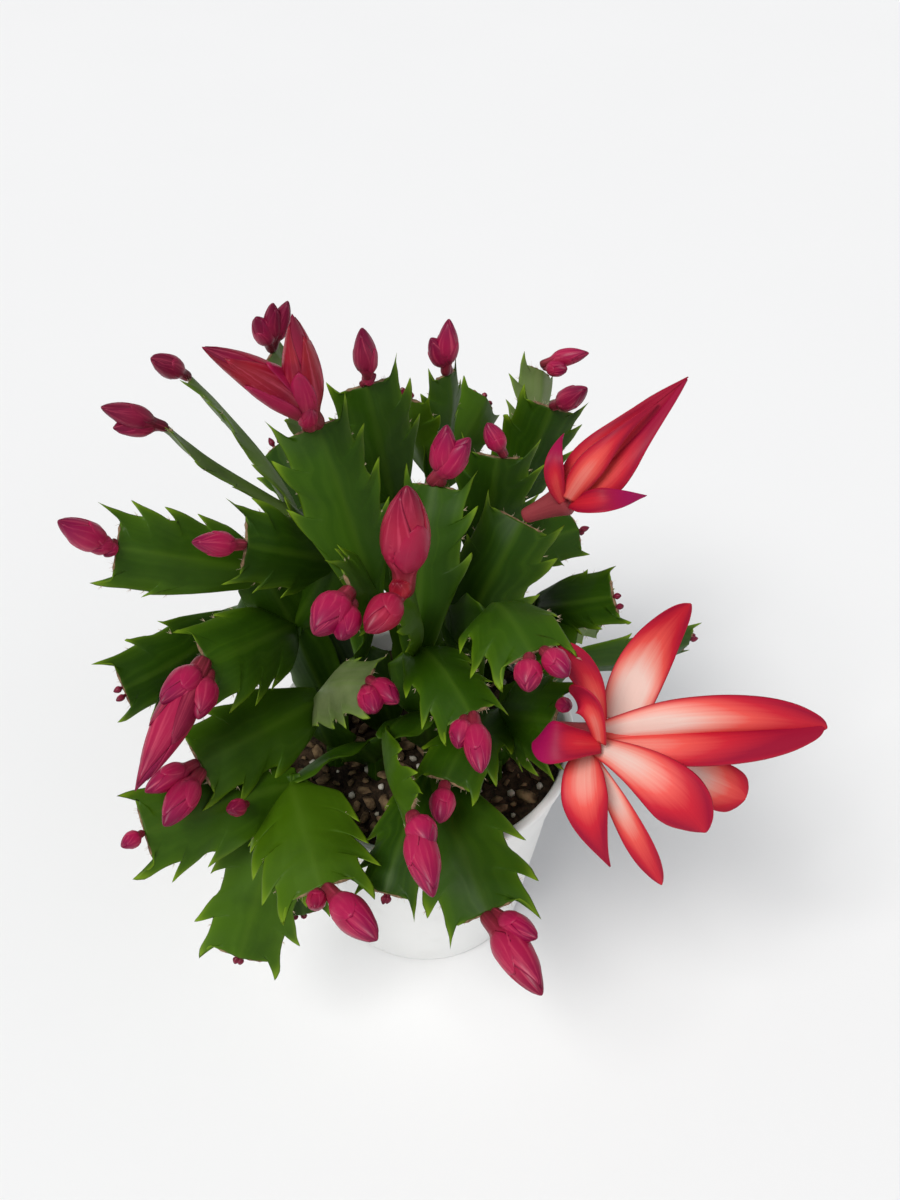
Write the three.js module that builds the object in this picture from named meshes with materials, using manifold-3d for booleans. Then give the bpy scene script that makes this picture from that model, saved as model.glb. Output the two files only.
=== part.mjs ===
// A potted christmas cactus in bud and flower: flat clawed pads in arching chains, in a 10.5 cm nursery pot.
// Millimetres, +Z up, with the origin at the middle of the pot's base.
import * as THREE from "three";
import { mergeVertices } from "three/addons/utils/BufferGeometryUtils.js";
import Module from "manifold-3d";

const wasm = await Module();
wasm.setup();

// The pot: a thin tapered wall under a flared collar with a rolled lip.
const POT_HEIGHT = 90;
const RIM_RADIUS = 52.5;
const LIP_WIDTH = 3.2;
const LIP_DEPTH = 2.6;
const COLLAR_DEPTH = 20;
const COLLAR_RADIUS = 47.8;
const COLLAR_STEP = 0.9;
const BASE_RADIUS = 37.5;
const BASE_ROUND = 2;
const FLOOR = 1.6;
const WALL = 1.3;
const POT_SIDES = 32;
const DRAIN = { count: 5, radius: 4, ring: 25, sides: 8 };

// The soil: a plug that follows the wall, with bark chips in its uneven top.
const SOIL_DROP = 8;
const SOIL_BUMP = 1.1;
const SOIL_RINGS = 4;
const SOIL_SIDES = 20;
const CHIP = { count: 10, size: [9, 5, 2.6], reach: 39 };
const HOLE = { radius: 3.7, depth: 26, sides: 8 };
const STALK = { radius: 3.2, sides: 8, above: 7 };

// Pads, the flat stem segments: a raised midrib, a thin edge and forward-pointing claws.
const PAD = { spine: 3, rim: 0.8, taper: 0.25, sink: 3, cup: 0.1 };
const INNER_PAD = { long: 36, wide: 20 };
// The edge of a pad from its neck to its cut-off end: [share of length along the midrib, width, ahead], where width
// and ahead, the lead of the edge over the midrib, are shares of the half-width.
const CLAWED_EDGE = [
  [0, 0.3, 0],
  [0.13, 0.76, 0.18],
  [0.25, 1, 0.46],
  [0.32, 0.76, 0.24],
  [0.51, 1.06, 0.56],
  [0.58, 0.78, 0.3],
  [0.8, 0.92, 0.7],
  [1, 0.52, 0],
];
const PLAIN_EDGE = [
  [0, 0.28, 0],
  [0.35, 1, 0.3],
  [0.75, 0.9, 0.2],
  [1, 0.45, 0],
];

// Buds and petals, [share of length, share of half-width or radius].
const GAP = 0.35;
const BUD_SIDES = 5;
const BUD_PROFILE = [
  [0.2, 0.52],
  [0.47, 1],
  [0.81, 0.66],
];
const PETAL = { spine: 1.5, rim: 0.8, taper: 0.3, cup: 0.12 };
const PETAL_EDGE = [
  [0, 0.38],
  [0.3, 0.64],
  [0.66, 1],
  [0.9, 0.7],
  [1, 0.1],
];
const LANCE_EDGE = [
  [0, 0.4],
  [0.2, 0.86],
  [0.42, 1],
  [0.75, 0.56],
  [1, 0.08],
];
const CLOSED_EDGE = [
  [0, 0.4],
  [0.32, 0.84],
  [0.63, 1],
  [0.9, 0.66],
  [1, 0.1],
];
const BROAD_EDGE = [
  [0, 0.45],
  [0.3, 0.74],
  [0.66, 1],
  [0.9, 0.7],
  [1, 0.1],
];
const FAN_EDGE = [
  [0, 0.8],
  [0.3, 1],
  [0.64, 0.88],
  [0.9, 0.46],
  [1, 0.08],
];
const SHEATH_EDGE = [
  [0, 0.62],
  [0.16, 0.9],
  [0.33, 1],
  [0.64, 0.54],
  [1, 0.06],
];

// The plant is laid out by eye from the front: a place is [across, down, near], where across and down are points of
// a 900 x 1200 view over the pot and near is millimetres towards the viewer from the plane of the rim's middle.
const VIEW = {
  pitch: THREE.MathUtils.degToRad(43.87),
  distance: 415.3,
  right: 9.25,
  up: 44.87,
  focal: 1200,
  middle: [450, 600],
};
const FORWARD = new THREE.Vector3(0, Math.cos(VIEW.pitch), -Math.sin(VIEW.pitch));
const RIGHT = new THREE.Vector3(1, 0, 0);
const UP = new THREE.Vector3().crossVectors(RIGHT, FORWARD);
const EYE = new THREE.Vector3(0, 0, POT_HEIGHT)
  .addScaledVector(FORWARD, -VIEW.distance)
  .addScaledVector(RIGHT, VIEW.right)
  .addScaledVector(UP, VIEW.up);

// The direction in which one view point is seen, one millimetre deep.
function sight([across, down]) {
  return FORWARD.clone()
    .addScaledVector(RIGHT, (across - VIEW.middle[0]) / VIEW.focal)
    .addScaledVector(UP, (VIEW.middle[1] - down) / VIEW.focal);
}

function seen([across, down, near]) {
  return EYE.clone().addScaledVector(sight([across, down]), VIEW.distance - near);
}

// The place at a real distance from a start that is seen at a view point: a positive length comes towards the viewer.
function reach(start, to, long) {
  const ray = sight(to);
  const offset = EYE.clone().sub(start);
  const a = ray.dot(ray);
  const b = ray.dot(offset);
  const c = offset.dot(offset) - long * long;
  const root = Math.sqrt(Math.max(b * b - a * c, 0));
  return EYE.clone().addScaledVector(ray, (-b - Math.sign(long) * root) / a);
}

// A repeatable draw between -1 and 1.
function draw(seed) {
  const wave = Math.sin(seed * 127.1 + 311.7) * 43758.5453;
  return 2 * (wave - Math.floor(wave)) - 1;
}

// ---- Solids ----

function solidOf(geometry) {
  const bare = geometry.clone();
  bare.deleteAttribute("normal");
  bare.deleteAttribute("uv");
  const merged = mergeVertices(bare, 1e-3);
  const corners = merged.index.array;
  const kept = [];
  for (let i = 0; i < corners.length; i += 3) {
    const [a, b, c] = [corners[i], corners[i + 1], corners[i + 2]];
    if (a !== b && b !== c && c !== a) kept.push(a, b, c);
  }
  return new wasm.Manifold(
    new wasm.Mesh({
      numProp: 3,
      vertProperties: new Float32Array(merged.attributes.position.array),
      triVerts: new Uint32Array(kept),
    }),
  );
}

function meshOf(name, solid, material) {
  const data = solid.getMesh();
  const geometry = new THREE.BufferGeometry();
  geometry.setAttribute("position", new THREE.BufferAttribute(data.vertProperties, 3));
  geometry.setIndex(new THREE.BufferAttribute(data.triVerts, 1));
  geometry.computeVertexNormals();
  const mesh = new THREE.Mesh(geometry, material);
  mesh.name = name;
  return mesh;
}

// Joins solids that grow together and leaves out any scrap that the joining cuts loose.
function fuse(solids) {
  const joined = solids.reduce((whole, next) => whole.add(next));
  const bodies = joined.decompose();
  bodies.sort((a, b) => b.volume() - a.volume());
  return bodies[0];
}

// A closed blade over a grid of stations along it and columns across it, both faces split alike.
function bladeGeometry(stations, columns, place) {
  const across = columns + 1;
  const sheet = (stations + 1) * across;
  const positions = [];
  for (const side of [1, -1])
    for (let i = 0; i <= stations; i++)
      for (let j = 0; j <= columns; j++) positions.push(...place(i, j, side));
  const front = (i, j) => i * across + j;
  const back = (i, j) => sheet + i * across + j;
  const index = [];
  const quad = (a, b, c, d) => index.push(a, b, c, a, c, d);
  for (let i = 0; i < stations; i++) {
    for (let j = 0; j < columns; j++) {
      quad(front(i, j), front(i + 1, j), front(i + 1, j + 1), front(i, j + 1));
      index.push(back(i, j), back(i + 1, j + 1), back(i + 1, j));
      index.push(back(i, j), back(i, j + 1), back(i + 1, j + 1));
    }
    quad(front(i, 0), back(i, 0), back(i + 1, 0), front(i + 1, 0));
    quad(front(i, columns), front(i + 1, columns), back(i + 1, columns), back(i, columns));
  }
  for (let j = 0; j < columns; j++) {
    quad(front(0, j), front(0, j + 1), back(0, j + 1), back(0, j));
    quad(front(stations, j), back(stations, j), back(stations, j + 1), front(stations, j + 1));
  }
  const geometry = new THREE.BufferGeometry();
  geometry.setAttribute("position", new THREE.Float32BufferAttribute(positions, 3));
  geometry.setIndex(index);
  return geometry;
}

// The frame that a blade has at a share of its centre curve: along it, across it and out of its face.
function frameAt(curve, share, face) {
  const along = curve.getTangent(share);
  const across = new THREE.Vector3().crossVectors(face, along).normalize();
  const out = new THREE.Vector3().crossVectors(along, across);
  return { at: curve.getPoint(share), along, across, out };
}

// The face direction of a blade between two places: square to the viewer at a roll of 0, edge-on at 90 degrees.
function facing(base, tip, roll) {
  const along = tip.clone().sub(base).normalize();
  const view = EYE.clone().sub(base.clone().lerp(tip, 0.5)).normalize();
  const face = view.addScaledVector(along, -view.dot(along)).normalize();
  return face.applyAxisAngle(along, THREE.MathUtils.degToRad(roll));
}

// ---- Pot and soil ----

function turned(profile, sides) {
  const outline = profile.map(([radius, z]) => new THREE.Vector2(radius, z));
  return solidOf(new THREE.LatheGeometry(outline, sides).rotateX(Math.PI / 2));
}

const COLLAR_Z = POT_HEIGHT - COLLAR_DEPTH;
const LIP_Z = POT_HEIGHT - LIP_DEPTH;
const NECK_RADIUS = COLLAR_RADIUS - COLLAR_STEP;
const INNER_RIM = RIM_RADIUS - LIP_WIDTH;

// The pot's inner wall, from its floor to its rim.
function innerRadius(z) {
  const lower = BASE_RADIUS - WALL;
  if (z <= COLLAR_Z) return lower + ((NECK_RADIUS - WALL - lower) * (z - FLOOR)) / (COLLAR_Z - FLOOR);
  const collar = NECK_RADIUS - WALL;
  return collar + ((INNER_RIM - collar) * (z - COLLAR_Z)) / (POT_HEIGHT - COLLAR_Z);
}

function potSolid() {
  const outside = [
    [0, 0],
    [BASE_RADIUS - BASE_ROUND, 0],
    [BASE_RADIUS, BASE_ROUND],
    [NECK_RADIUS, COLLAR_Z - COLLAR_STEP],
    [COLLAR_RADIUS, COLLAR_Z],
    [INNER_RIM + WALL, LIP_Z - 0.8],
    [RIM_RADIUS - 0.5, LIP_Z],
    [RIM_RADIUS, LIP_Z + 0.8],
    [RIM_RADIUS, POT_HEIGHT - 0.8],
    [RIM_RADIUS - 0.8, POT_HEIGHT],
    [INNER_RIM + 0.8, POT_HEIGHT],
    [INNER_RIM, POT_HEIGHT - 0.8],
  ];
  const inside = [COLLAR_Z, FLOOR].map((z) => [innerRadius(z), z]);
  let pot = turned([...outside, ...inside, [0, FLOOR]], POT_SIDES);
  for (let i = 0; i < DRAIN.count; i++) {
    const angle = (2 * Math.PI * i) / DRAIN.count;
    const drill = new THREE.CylinderGeometry(DRAIN.radius, DRAIN.radius, 4 * FLOOR, DRAIN.sides)
      .rotateX(Math.PI / 2)
      .translate(DRAIN.ring * Math.cos(angle), DRAIN.ring * Math.sin(angle), 0);
    pot = pot.subtract(solidOf(drill));
  }
  return pot;
}

const SOIL_Z = POT_HEIGHT - SOIL_DROP;

function soilSolid(holes) {
  const clear = 0.4;
  const profile = [[0, FLOOR + clear]];
  for (const z of [FLOOR + clear, COLLAR_Z, SOIL_Z]) profile.push([innerRadius(z) - clear, z]);
  for (let ring = SOIL_RINGS - 1; ring >= 0; ring--)
    profile.push([(ring / SOIL_RINGS) * (innerRadius(SOIL_Z) - clear), SOIL_Z]);
  const outline = profile.map(([radius, z]) => new THREE.Vector2(radius, z));
  const plug = new THREE.LatheGeometry(outline, SOIL_SIDES).rotateX(Math.PI / 2);
  const places = plug.attributes.position;
  const rim = innerRadius(SOIL_Z) - 1;
  for (let i = 0; i < places.count; i++) {
    const [x, y, z] = [places.getX(i), places.getY(i), places.getZ(i)];
    const bump = Math.sin(x * 0.31 + 1) * Math.cos(y * 0.27) + 0.6 * Math.sin(x * 0.8 - y * 0.7);
    if (z > SOIL_Z - 0.1 && Math.hypot(x, y) < rim) places.setZ(i, z + SOIL_BUMP * bump);
  }
  let soil = solidOf(plug);
  for (let i = 0; i < CHIP.count; i++) {
    const turn = i * 2.4;
    const spread = CHIP.reach * Math.sqrt((i + 0.5) / CHIP.count);
    const chip = new THREE.BoxGeometry(...CHIP.size)
      .rotateX(0.5 * draw(i))
      .rotateY(0.4 * draw(i + 40))
      .rotateZ(3 * draw(i + 80))
      .translate(spread * Math.cos(turn), spread * Math.sin(turn), SOIL_Z + 0.6);
    soil = soil.add(solidOf(chip));
  }
  for (const [x, y] of holes) {
    const bore = new THREE.CylinderGeometry(HOLE.radius, HOLE.radius, 2 * HOLE.depth, HOLE.sides)
      .rotateX(Math.PI / 2)
      .translate(x, y, SOIL_Z);
    soil = soil.subtract(solidOf(bore));
  }
  return fuse([soil]);
}

// ---- Pads and petals ----

// A blade along a curve, by the outline of its edge. Its two faces fall from the spine to a rim at full width, cup
// drops the edges behind the face, and grown is a skin that thickens it, to cut room for a neighbour.
function bladeSolid({ curve, face, edge, half, spine, rim, taper, cup, wobble = () => 0 }, grown = 0) {
  const long = curve.getLength();
  const place = (i, j, side) => {
    const [share, width, ahead = 0] = edge[i];
    const lean = j - 1;
    const reached = share + (Math.abs(lean) * half * ahead) / long;
    const { at, along, across, out } = frameAt(curve, Math.min(reached, 1), face);
    const middle = spine * (1 - taper * share);
    const thick = lean === 0 ? middle : rim + (middle - rim) * Math.max(1 - width, 0);
    const away = Math.abs(lean) * (half * width * (1 + wobble(i, lean)) + grown);
    const end = i === edge.length - 1 ? grown : 0;
    return at
      .addScaledVector(along, Math.max(reached - 1, 0) * long + end)
      .addScaledVector(across, lean * away)
      .addScaledVector(out, side * (thick / 2 + grown) - cup * away)
      .toArray();
  };
  return solidOf(bladeGeometry(edge.length - 1, 2, place));
}

// One pad from its neck, sunk into what it grows from, to its cut-off end.
function padSolid({ base, tip, face, wide, arch, seed, edge }, grown = 0) {
  const bow = base.clone().lerp(tip, 0.5).addScaledVector(face, 2 * arch);
  const root = base.clone().addScaledVector(bow.clone().sub(base).normalize(), -PAD.sink);
  const curve = new THREE.QuadraticBezierCurve3(root, bow, tip);
  const wobble = (i, lean) => 0.06 * draw(seed + i + 20 * lean);
  return bladeSolid({ ...PAD, curve, face, edge, half: wide / 2, wobble }, grown);
}

// A petal through three places, with its face turned by roll from the viewer.
function petalSolid({ through, wide, roll = 0, edge = PETAL_EDGE }) {
  const [base, middle, tip] = through.map(seen);
  const control = middle.clone().multiplyScalar(2).addScaledVector(base, -0.5).addScaledVector(tip, -0.5);
  const curve = new THREE.QuadraticBezierCurve3(base, control, tip);
  return bladeSolid({ ...PETAL, curve, face: facing(base, tip, roll), edge, half: wide / 2 });
}

// A bud or another spindle of a turned profile, [share of length, share of radius], that ends in a point.
function spindleSolid(base, tip, radius, profile) {
  const axis = tip.clone().sub(base);
  const long = axis.length();
  const outline = [[0, 0], ...profile, [1, 0]].map(([share, width]) => new THREE.Vector2(width * radius, share * long));
  const turn = new THREE.Quaternion().setFromUnitVectors(new THREE.Vector3(0, 1, 0), axis.normalize());
  const spindle = new THREE.LatheGeometry(outline, BUD_SIDES).applyQuaternion(turn);
  return solidOf(spindle.translate(...base.toArray()));
}

// ---- Leafy stems ----

// Each cutting rises from its hole in the soil, [x, y], by old inner pads to a fork at [x, y, z]. Its pads follow:
// each grows from the fork, or from the pad named before it, to the view point "to".
const STEMS = {
  back_left: {
    hole: [-23, 16],
    fork: [-35, 22, 122],
    pads: {
      a: { to: [296, 514], long: 40, wide: 20, roll: 50 },
      a_upper: { from: "a", to: [190, 379], long: 54, wide: 17, roll: 87 },
      a_lower: { from: "a", to: [167, 428], long: 54, wide: 17, roll: 85, arch: -2 },
    },
  },
  tall_left: {
    hole: [-11, 2],
    fork: [-19, -3, 131],
    pads: {
      c0: { to: [370, 592], long: 37, wide: 16, roll: 75 },
      c: { from: "c0", to: [316, 427], long: 52, wide: 29, roll: 14, arch: 3 },
      gg: { from: "c0", to: [352, 596], long: 28, wide: 27, roll: 0 },
      d0: { to: [338, 548], long: -45, wide: 13, roll: 60 },
      d: { from: "d0", to: [281, 444], long: -42, wide: 27, roll: -10 },
      b: { from: "d0", to: [318, 452], long: -38, wide: 22, roll: 30 },
      b_top: { from: "b", to: [273, 352], long: 42, wide: 22, roll: 60 },
    },
  },
  top: {
    hole: [1, 16],
    fork: [-4, 22, 134],
    pads: {
      e0: { to: [392, 500], long: 36, wide: 24, roll: 20 },
      e: { from: "e0", to: [366, 386], long: 44, wide: 27, roll: 5 },
      g0: { to: [436, 482], long: -40, wide: 20, roll: -20 },
      g: { from: "g0", to: [447, 375], long: 40, wide: 22, roll: 58 },
      f: { from: "g0", to: [408, 398], long: 40, wide: 22, roll: -50 },
      h: { from: "g0", to: [484, 399], long: -40, wide: 24, roll: 20 },
    },
  },
  middle: {
    hole: [3, -8],
    fork: [2, -22, 124],
    pads: {
      k0: { to: [416, 650], long: 22, wide: 20 },
      k: { from: "k0", to: [435, 486], long: 51, wide: 27, roll: -14, arch: 3 },
      s: { from: "k0", to: [469, 714], long: 42, wide: 26, roll: -22, arch: 5 },
      u1: { from: "k0", to: [404, 594], long: 44, wide: 18, roll: 70 },
      u2_0: { to: [386, 738], long: 20, wide: 16, roll: 60 },
      u2: { from: "u2_0", to: [411, 812], long: 36, wide: 20, roll: 72 },
    },
  },
  right_top: {
    hole: [12, 8],
    fork: [12, 4, 130],
    pads: {
      l: { to: [521, 522], long: 46, wide: 33, arch: 3 },
      i0: { to: [482, 560], long: -30, wide: 22 },
      i: { from: "i0", to: [498, 457], long: 42, wide: 30 },
      m: { from: "i0", to: [577, 530], long: -36, wide: 24 },
      p0: { to: [489, 614], long: 34, wide: 20 },
      p: { from: "p0", to: [532, 653], long: 36, wide: 31, roll: -28, arch: 7 },
    },
  },
  back_right: {
    hole: [18, 22],
    fork: [26, 28, 124],
    pads: {
      kk0: { to: [508, 500], long: -38, wide: 20 },
      kk: { from: "kk0", to: [551, 408], long: 42, wide: 29, roll: 14 },
      jj: { from: "kk0", to: [541, 371], long: -48, wide: 24, roll: 50 },
    },
  },
  right: {
    hole: [30, 6],
    fork: [44, 8, 114],
    pads: {
      n0: { to: [536, 608], long: -34, wide: 22 },
      n: { from: "n0", to: [613, 597], long: 42, wide: 25 },
      o: { from: "n0", to: [606, 616], long: -42, wide: 26, roll: 20 },
      hh: { to: [688, 643], long: -52, wide: 24, roll: 55 },
    },
  },
  front_right: {
    hole: [24, -14],
    fork: [25, -15, 116],
    pads: {
      q: { to: [554, 722], long: 38, wide: 32 },
      r: { to: [446, 781], long: 42, wide: 27, roll: 24, arch: 6 },
    },
  },
  front: {
    hole: [6, -26],
    fork: [3, -36, 112],
    pads: {
      w: { to: [488, 912], long: 48, wide: 34, arch: 3 },
      v: { to: [386, 893], long: 41, wide: 24, roll: 20 },
    },
  },
  front_left: {
    hole: [-16, -12],
    fork: [-20, -17, 102],
    pads: {
      x0: { to: [291, 784], long: 32, wide: 14, roll: 84 },
      x: { from: "x0", to: [322, 887], long: 42, wide: 36, arch: 3 },
      y: { from: "x0", to: [240, 957], long: -56, wide: 33, arch: 3 },
      z: { from: "x0", to: [145, 832], long: 48, wide: 33, arch: 3 },
      aa: { from: "x0", to: [303, 914], long: -44, wide: 22 },
    },
  },
  left_upper: {
    hole: [-30, 6],
    fork: [-41, 4, 137],
    pads: {
      bb0: { to: [262, 570], long: 30, wide: 22 },
      bb: { from: "bb0", to: [117, 548], long: 46, wide: 29, arch: 3 },
      cc0: { to: [332, 560], long: 30, wide: 22 },
      cc: { from: "cc0", to: [246, 545], long: 40, wide: 29, arch: 3 },
      dd: { to: [208, 664], long: 46, wide: 31, arch: 5 },
      ee0: { to: [232, 622], long: -28, wide: 22 },
      ee: { from: "ee0", to: [124, 688], long: 46, wide: 27, roll: -20, arch: 3 },
    },
  },
  left_lower: {
    hole: [-30, -8],
    fork: [-34, -10, 116],
    pads: {
      ff: { to: [201, 765], long: 52, wide: 31, arch: 4 },
      t: { to: [366, 684], long: 38, wide: 26, roll: -42, arch: 4 },
    },
  },
};

// The chains that the front hides grow from the same forks, arch out over the rim and hang: each place is
// [turn round the pot in degrees, distance from its axis, height].
const CHAINS_BEHIND = {
  top: [
    [[98, 58, 142], [100, 94, 118], [100, 108, 80]],
    [[88, 54, 138], [80, 94, 116]],
  ],
  back_right: [[[68, 56, 114], [67, 94, 90]]],
  back_left: [
    [[132, 64, 130], [133, 100, 108]],
    [[148, 66, 116], [154, 100, 90]],
  ],
};
const CHAIN_PAD = { wide: 28, arch: 3 };

function polar([turn, out, height]) {
  const angle = THREE.MathUtils.degToRad(turn);
  return new THREE.Vector3(out * Math.cos(angle), out * Math.sin(angle), height);
}

function innerPads(foot, fork, seed) {
  const count = Math.max(1, Math.round(foot.distanceTo(fork) / INNER_PAD.long));
  return Array.from({ length: count }, (_, i) => {
    const base = foot.clone().lerp(fork, i / count);
    const tip = foot.clone().lerp(fork, (i + 1) / count);
    const face = facing(base, tip, 50 * draw(seed + i));
    return { base, tip, face, wide: INNER_PAD.wide, arch: 1, seed: seed + i, edge: PLAIN_EDGE };
  });
}

// The pads of one cutting: its old inner ones and its named ones.
function growStem(name, { hole, fork: forkPlace, pads }, seed) {
  const fork = new THREE.Vector3(...forkPlace);
  const inner = innerPads(new THREE.Vector3(...hole, SOIL_Z + STALK.above), fork, seed);
  const named = {};
  Object.entries(pads).forEach(([key, { from, to, long, wide, roll = 0, arch = 2 }], i) => {
    const base = from ? named[from].tip : fork;
    const tip = reach(base, to, long);
    const edge = /0$/.test(key) ? PLAIN_EDGE : CLAWED_EDGE;
    named[key] = { base, tip, face: facing(base, tip, roll), wide, arch, seed: seed + 3 * i, edge };
  });
  (CHAINS_BEHIND[name] ?? []).forEach((chain, branch) => {
    let base = fork;
    chain.forEach((place, i) => {
      const tip = polar(place);
      const along = tip.clone().sub(base).normalize();
      const face = new THREE.Vector3(0, 0, 1).addScaledVector(along, -along.z).normalize();
      face.applyAxisAngle(along, 0.35 * draw(seed + 7 * branch + i));
      named[`${name}_${branch}_${i}`] = { base, tip, face, ...CHAIN_PAD, seed: seed + branch + i, edge: CLAWED_EDGE };
      base = tip;
    });
  });
  return { hole, inner, named };
}

function stemSolid({ hole: [x, y], inner, named }) {
  const long = HOLE.depth - GAP + STALK.above;
  const stalk = new THREE.CylinderGeometry(STALK.radius, STALK.radius, long, STALK.sides)
    .rotateX(Math.PI / 2)
    .translate(x, y, SOIL_Z + STALK.above - long / 2);
  return fuse([solidOf(stalk), ...[...inner, ...Object.values(named)].map((pad) => padSolid(pad))]);
}

// ---- Buds and flowers ----

// Each bunch sits on the cut-off end of a pad. A bud is [view point of its tip, real length, radius, slide, stand]:
// slide is how far from the middle of the end it sits, and stand its gap from the end.
const BUNCHES = {
  bud_a_upper: { on: "a_upper", buds: [[[151, 358], 17, 3.7]] },
  buds_a_lower: { on: "a_lower", buds: [[[101, 407], 22, 3.7, 0.5], [[113, 428], 17, 3.2, -0.5]] },
  buds_b: { on: "b_top", buds: [[[256, 317], 15, 3.9], [[273, 303], 19, 3.2], [[288, 301], 19, 3.3]] },
  buds_c_long: { on: "c", buds: [[[202, 347], 50, 5.4, -1], [[292, 314], 44, 5.4, 1.5], [[310, 407], 13, 2.8, 3]] },
  buds_e: { on: "e", buds: [[[362, 328], 21, 3.6, -1], [[376, 374], 6, 1.9, 1.5, 0.8]] },
  buds_g: { on: "g", buds: [[[431, 338], 15, 3.7, -1], [[449, 319], 19, 3.7, 1]] },
  buds_jj: { on: "jj", buds: [[[589, 353], 18, 3.2, 1, 2], [[567, 369], 12, 3, -1, 2]] },
  bud_kk: { on: "kk", buds: [[[587, 388], 18, 3.8]] },
  bud_i: { on: "i", buds: [[[487, 423], 13, 3.4, -2]] },
  buds_k: { on: "k", buds: [[[447, 425], 20, 4.2, -1.5], [[470, 438], 20, 4.4, 1.5]] },
  buds_bb: { on: "bb", buds: [[[58, 521], 22, 4.2], [[86, 545], 12, 3, -1], [[105, 556], 7, 2.1, -2, 0.9]] },
  bud_cc: { on: "cc", buds: [[[192, 542], 18, 3.6]] },
  buds_u1: { on: "u1", buds: [[[407, 486], 34, 6.9], [[397, 583], 8, 3.2], [[366, 632], 18, 4.9, 0, 3]] },
  buds_gg: { on: "gg", buds: [[[314, 634], 20, 5.3, -1.5, 0.8], [[341, 639], 17, 4, 1.5, 0.8]] },
  buds_dd: { on: "dd", buds: [[[161, 703], 21, 4.6, -1], [[198, 719], 18, 4.2, 2], [[135, 791], 44, 5.7, -1.5]] },
  buds_ff: { on: "ff", buds: [[[145, 792], 18, 3.8, -1], [[164, 826], 22, 4.6, 1.5]] },
  bud_ff_edge: { on: "ff", buds: [[[228, 810], 11, 2.6, 16.6, -8]] },
  buds_x: { on: "x", buds: [[[377, 940], 27, 5.1, 1], [[315, 908], 9, 2.9, -1.5]] },
  buds_w: { on: "w", buds: [[[542, 995], 31, 5.5, -1], [[537, 938], 20, 4, 1.5]] },
  buds_u2: { on: "u2", buds: [[[431, 847], 14, 4.4], [[433, 897], 27, 4.8]] },
  bud_r: { on: "r", buds: [[[440, 823], 14, 3.9]] },
  buds_t: { on: "t", buds: [[[375, 712], 15, 3.9, -1.5], [[398, 703], 16, 3.7, 1.5]] },
  buds_s: { on: "s", buds: [[[458, 748], 12, 3.4, -1.5], [[481, 773], 21, 4, 1]] },
  buds_p: { on: "p", buds: [[[527, 691], 13, 4, -1], [[568, 676], 14, 3.7, 3]] },
  bud_q: { on: "q", buds: [[[570, 706], 8, 2.3, 5, 0.6]] },
  bud_z: { on: "z", buds: [[[122, 847], 9, 2.5]] },
};

// Where a bunch stands on its pad: just clear of the end, slid across it.
function seatOn(pad, slide = 0, stand = 2 * GAP) {
  const along = pad.tip.clone().sub(pad.base).normalize();
  const across = new THREE.Vector3().crossVectors(pad.face, along).normalize();
  return pad.tip.clone().addScaledVector(along, stand).addScaledVector(across, slide);
}

function bunchSolid({ on, buds }) {
  const pad = PADS[on];
  const parts = buds.map(([to, long, radius, slide, stand]) => {
    const base = seatOn(pad, slide, stand);
    return spindleSolid(base, reach(base, to, long), radius, BUD_PROFILE);
  });
  return fuse(parts);
}

// The open flower: a tube, petals swept back round its throat, and the long inner petals still held together.
const OPEN_FLOWER = {
  on: "q",
  seat: [-1.5, 1.8],
  throat: [600, 738, 74],
  tube: 4.2,
  heart: { tip: [818, 727, 76], radius: 6.2 },
  petals: [
    { through: [[622, 722, 70], [646, 662, 66], [690, 604, 78]], wide: 15, edge: FAN_EDGE },
    { through: [[600, 734, 74], [588, 682, 84], [553, 644, 84]], wide: 9, roll: 25, edge: BROAD_EDGE },
    { through: [[600, 742, 82], [590, 708, 90], [571, 693, 84]], wide: 9, roll: -40, edge: BROAD_EDGE },
    { through: [[600, 744, 81], [562, 742, 88], [534, 742, 82]], wide: 12, roll: 10, edge: BROAD_EDGE },
    { through: [[588, 750, 76], [586, 806, 84], [610, 866, 78]], wide: 13, edge: LANCE_EDGE },
    { through: [[592, 756, 72], [622, 812, 76], [662, 884, 66]], wide: 8, roll: 10 },
    { through: [[586, 742, 73], [654, 778, 91], [705, 832, 92]], wide: 16 },
    { through: [[616, 745, 66], [700, 778, 66], [745, 798, 62]], wide: 14, edge: BROAD_EDGE },
    { through: [[594, 734, 74], [706, 720, 83], [827, 727, 77]], wide: 13, roll: 22, edge: CLOSED_EDGE },
    { through: [[594, 742, 75], [696, 744, 83], [824, 729, 78]], wide: 12, roll: -26, edge: CLOSED_EDGE },
    { through: [[598, 738, 72], [704, 731, 68], [824, 725, 76]], wide: 14, roll: 180, edge: CLOSED_EDGE },
  ],
};

const HALF_OPEN_FLOWER = {
  on: "l",
  seat: [0, 2],
  throat: [568, 498, 50],
  tube: 4.7,
  heart: { tip: [686, 378, 60], radius: 6 },
  petals: [
    { through: [[562, 502, 54], [554, 466, 62], [564, 434, 58]], wide: 6, edge: LANCE_EDGE },
    { through: [[571, 504, 54], [606, 500, 64], [646, 496, 56]], wide: 8, roll: -20, edge: LANCE_EDGE },
    { through: [[564, 495, 50], [606, 439, 60], [688, 377, 60]], wide: 9, roll: 14, edge: SHEATH_EDGE },
    { through: [[576, 501, 52], [628, 454, 61], [687, 379, 60]], wide: 11, roll: -26, edge: SHEATH_EDGE },
    { through: [[568, 499, 57], [605, 450, 67], [658, 402, 66]], wide: 8.5, roll: 6, edge: SHEATH_EDGE },
    { through: [[571, 496, 46], [618, 442, 46], [687, 378, 57]], wide: 11.5, roll: 180, edge: SHEATH_EDGE },
  ],
};

const TUBE_PROFILE = [
  [0.04, 0.5],
  [0.45, 0.72],
  [0.8, 1.05],
];

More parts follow.
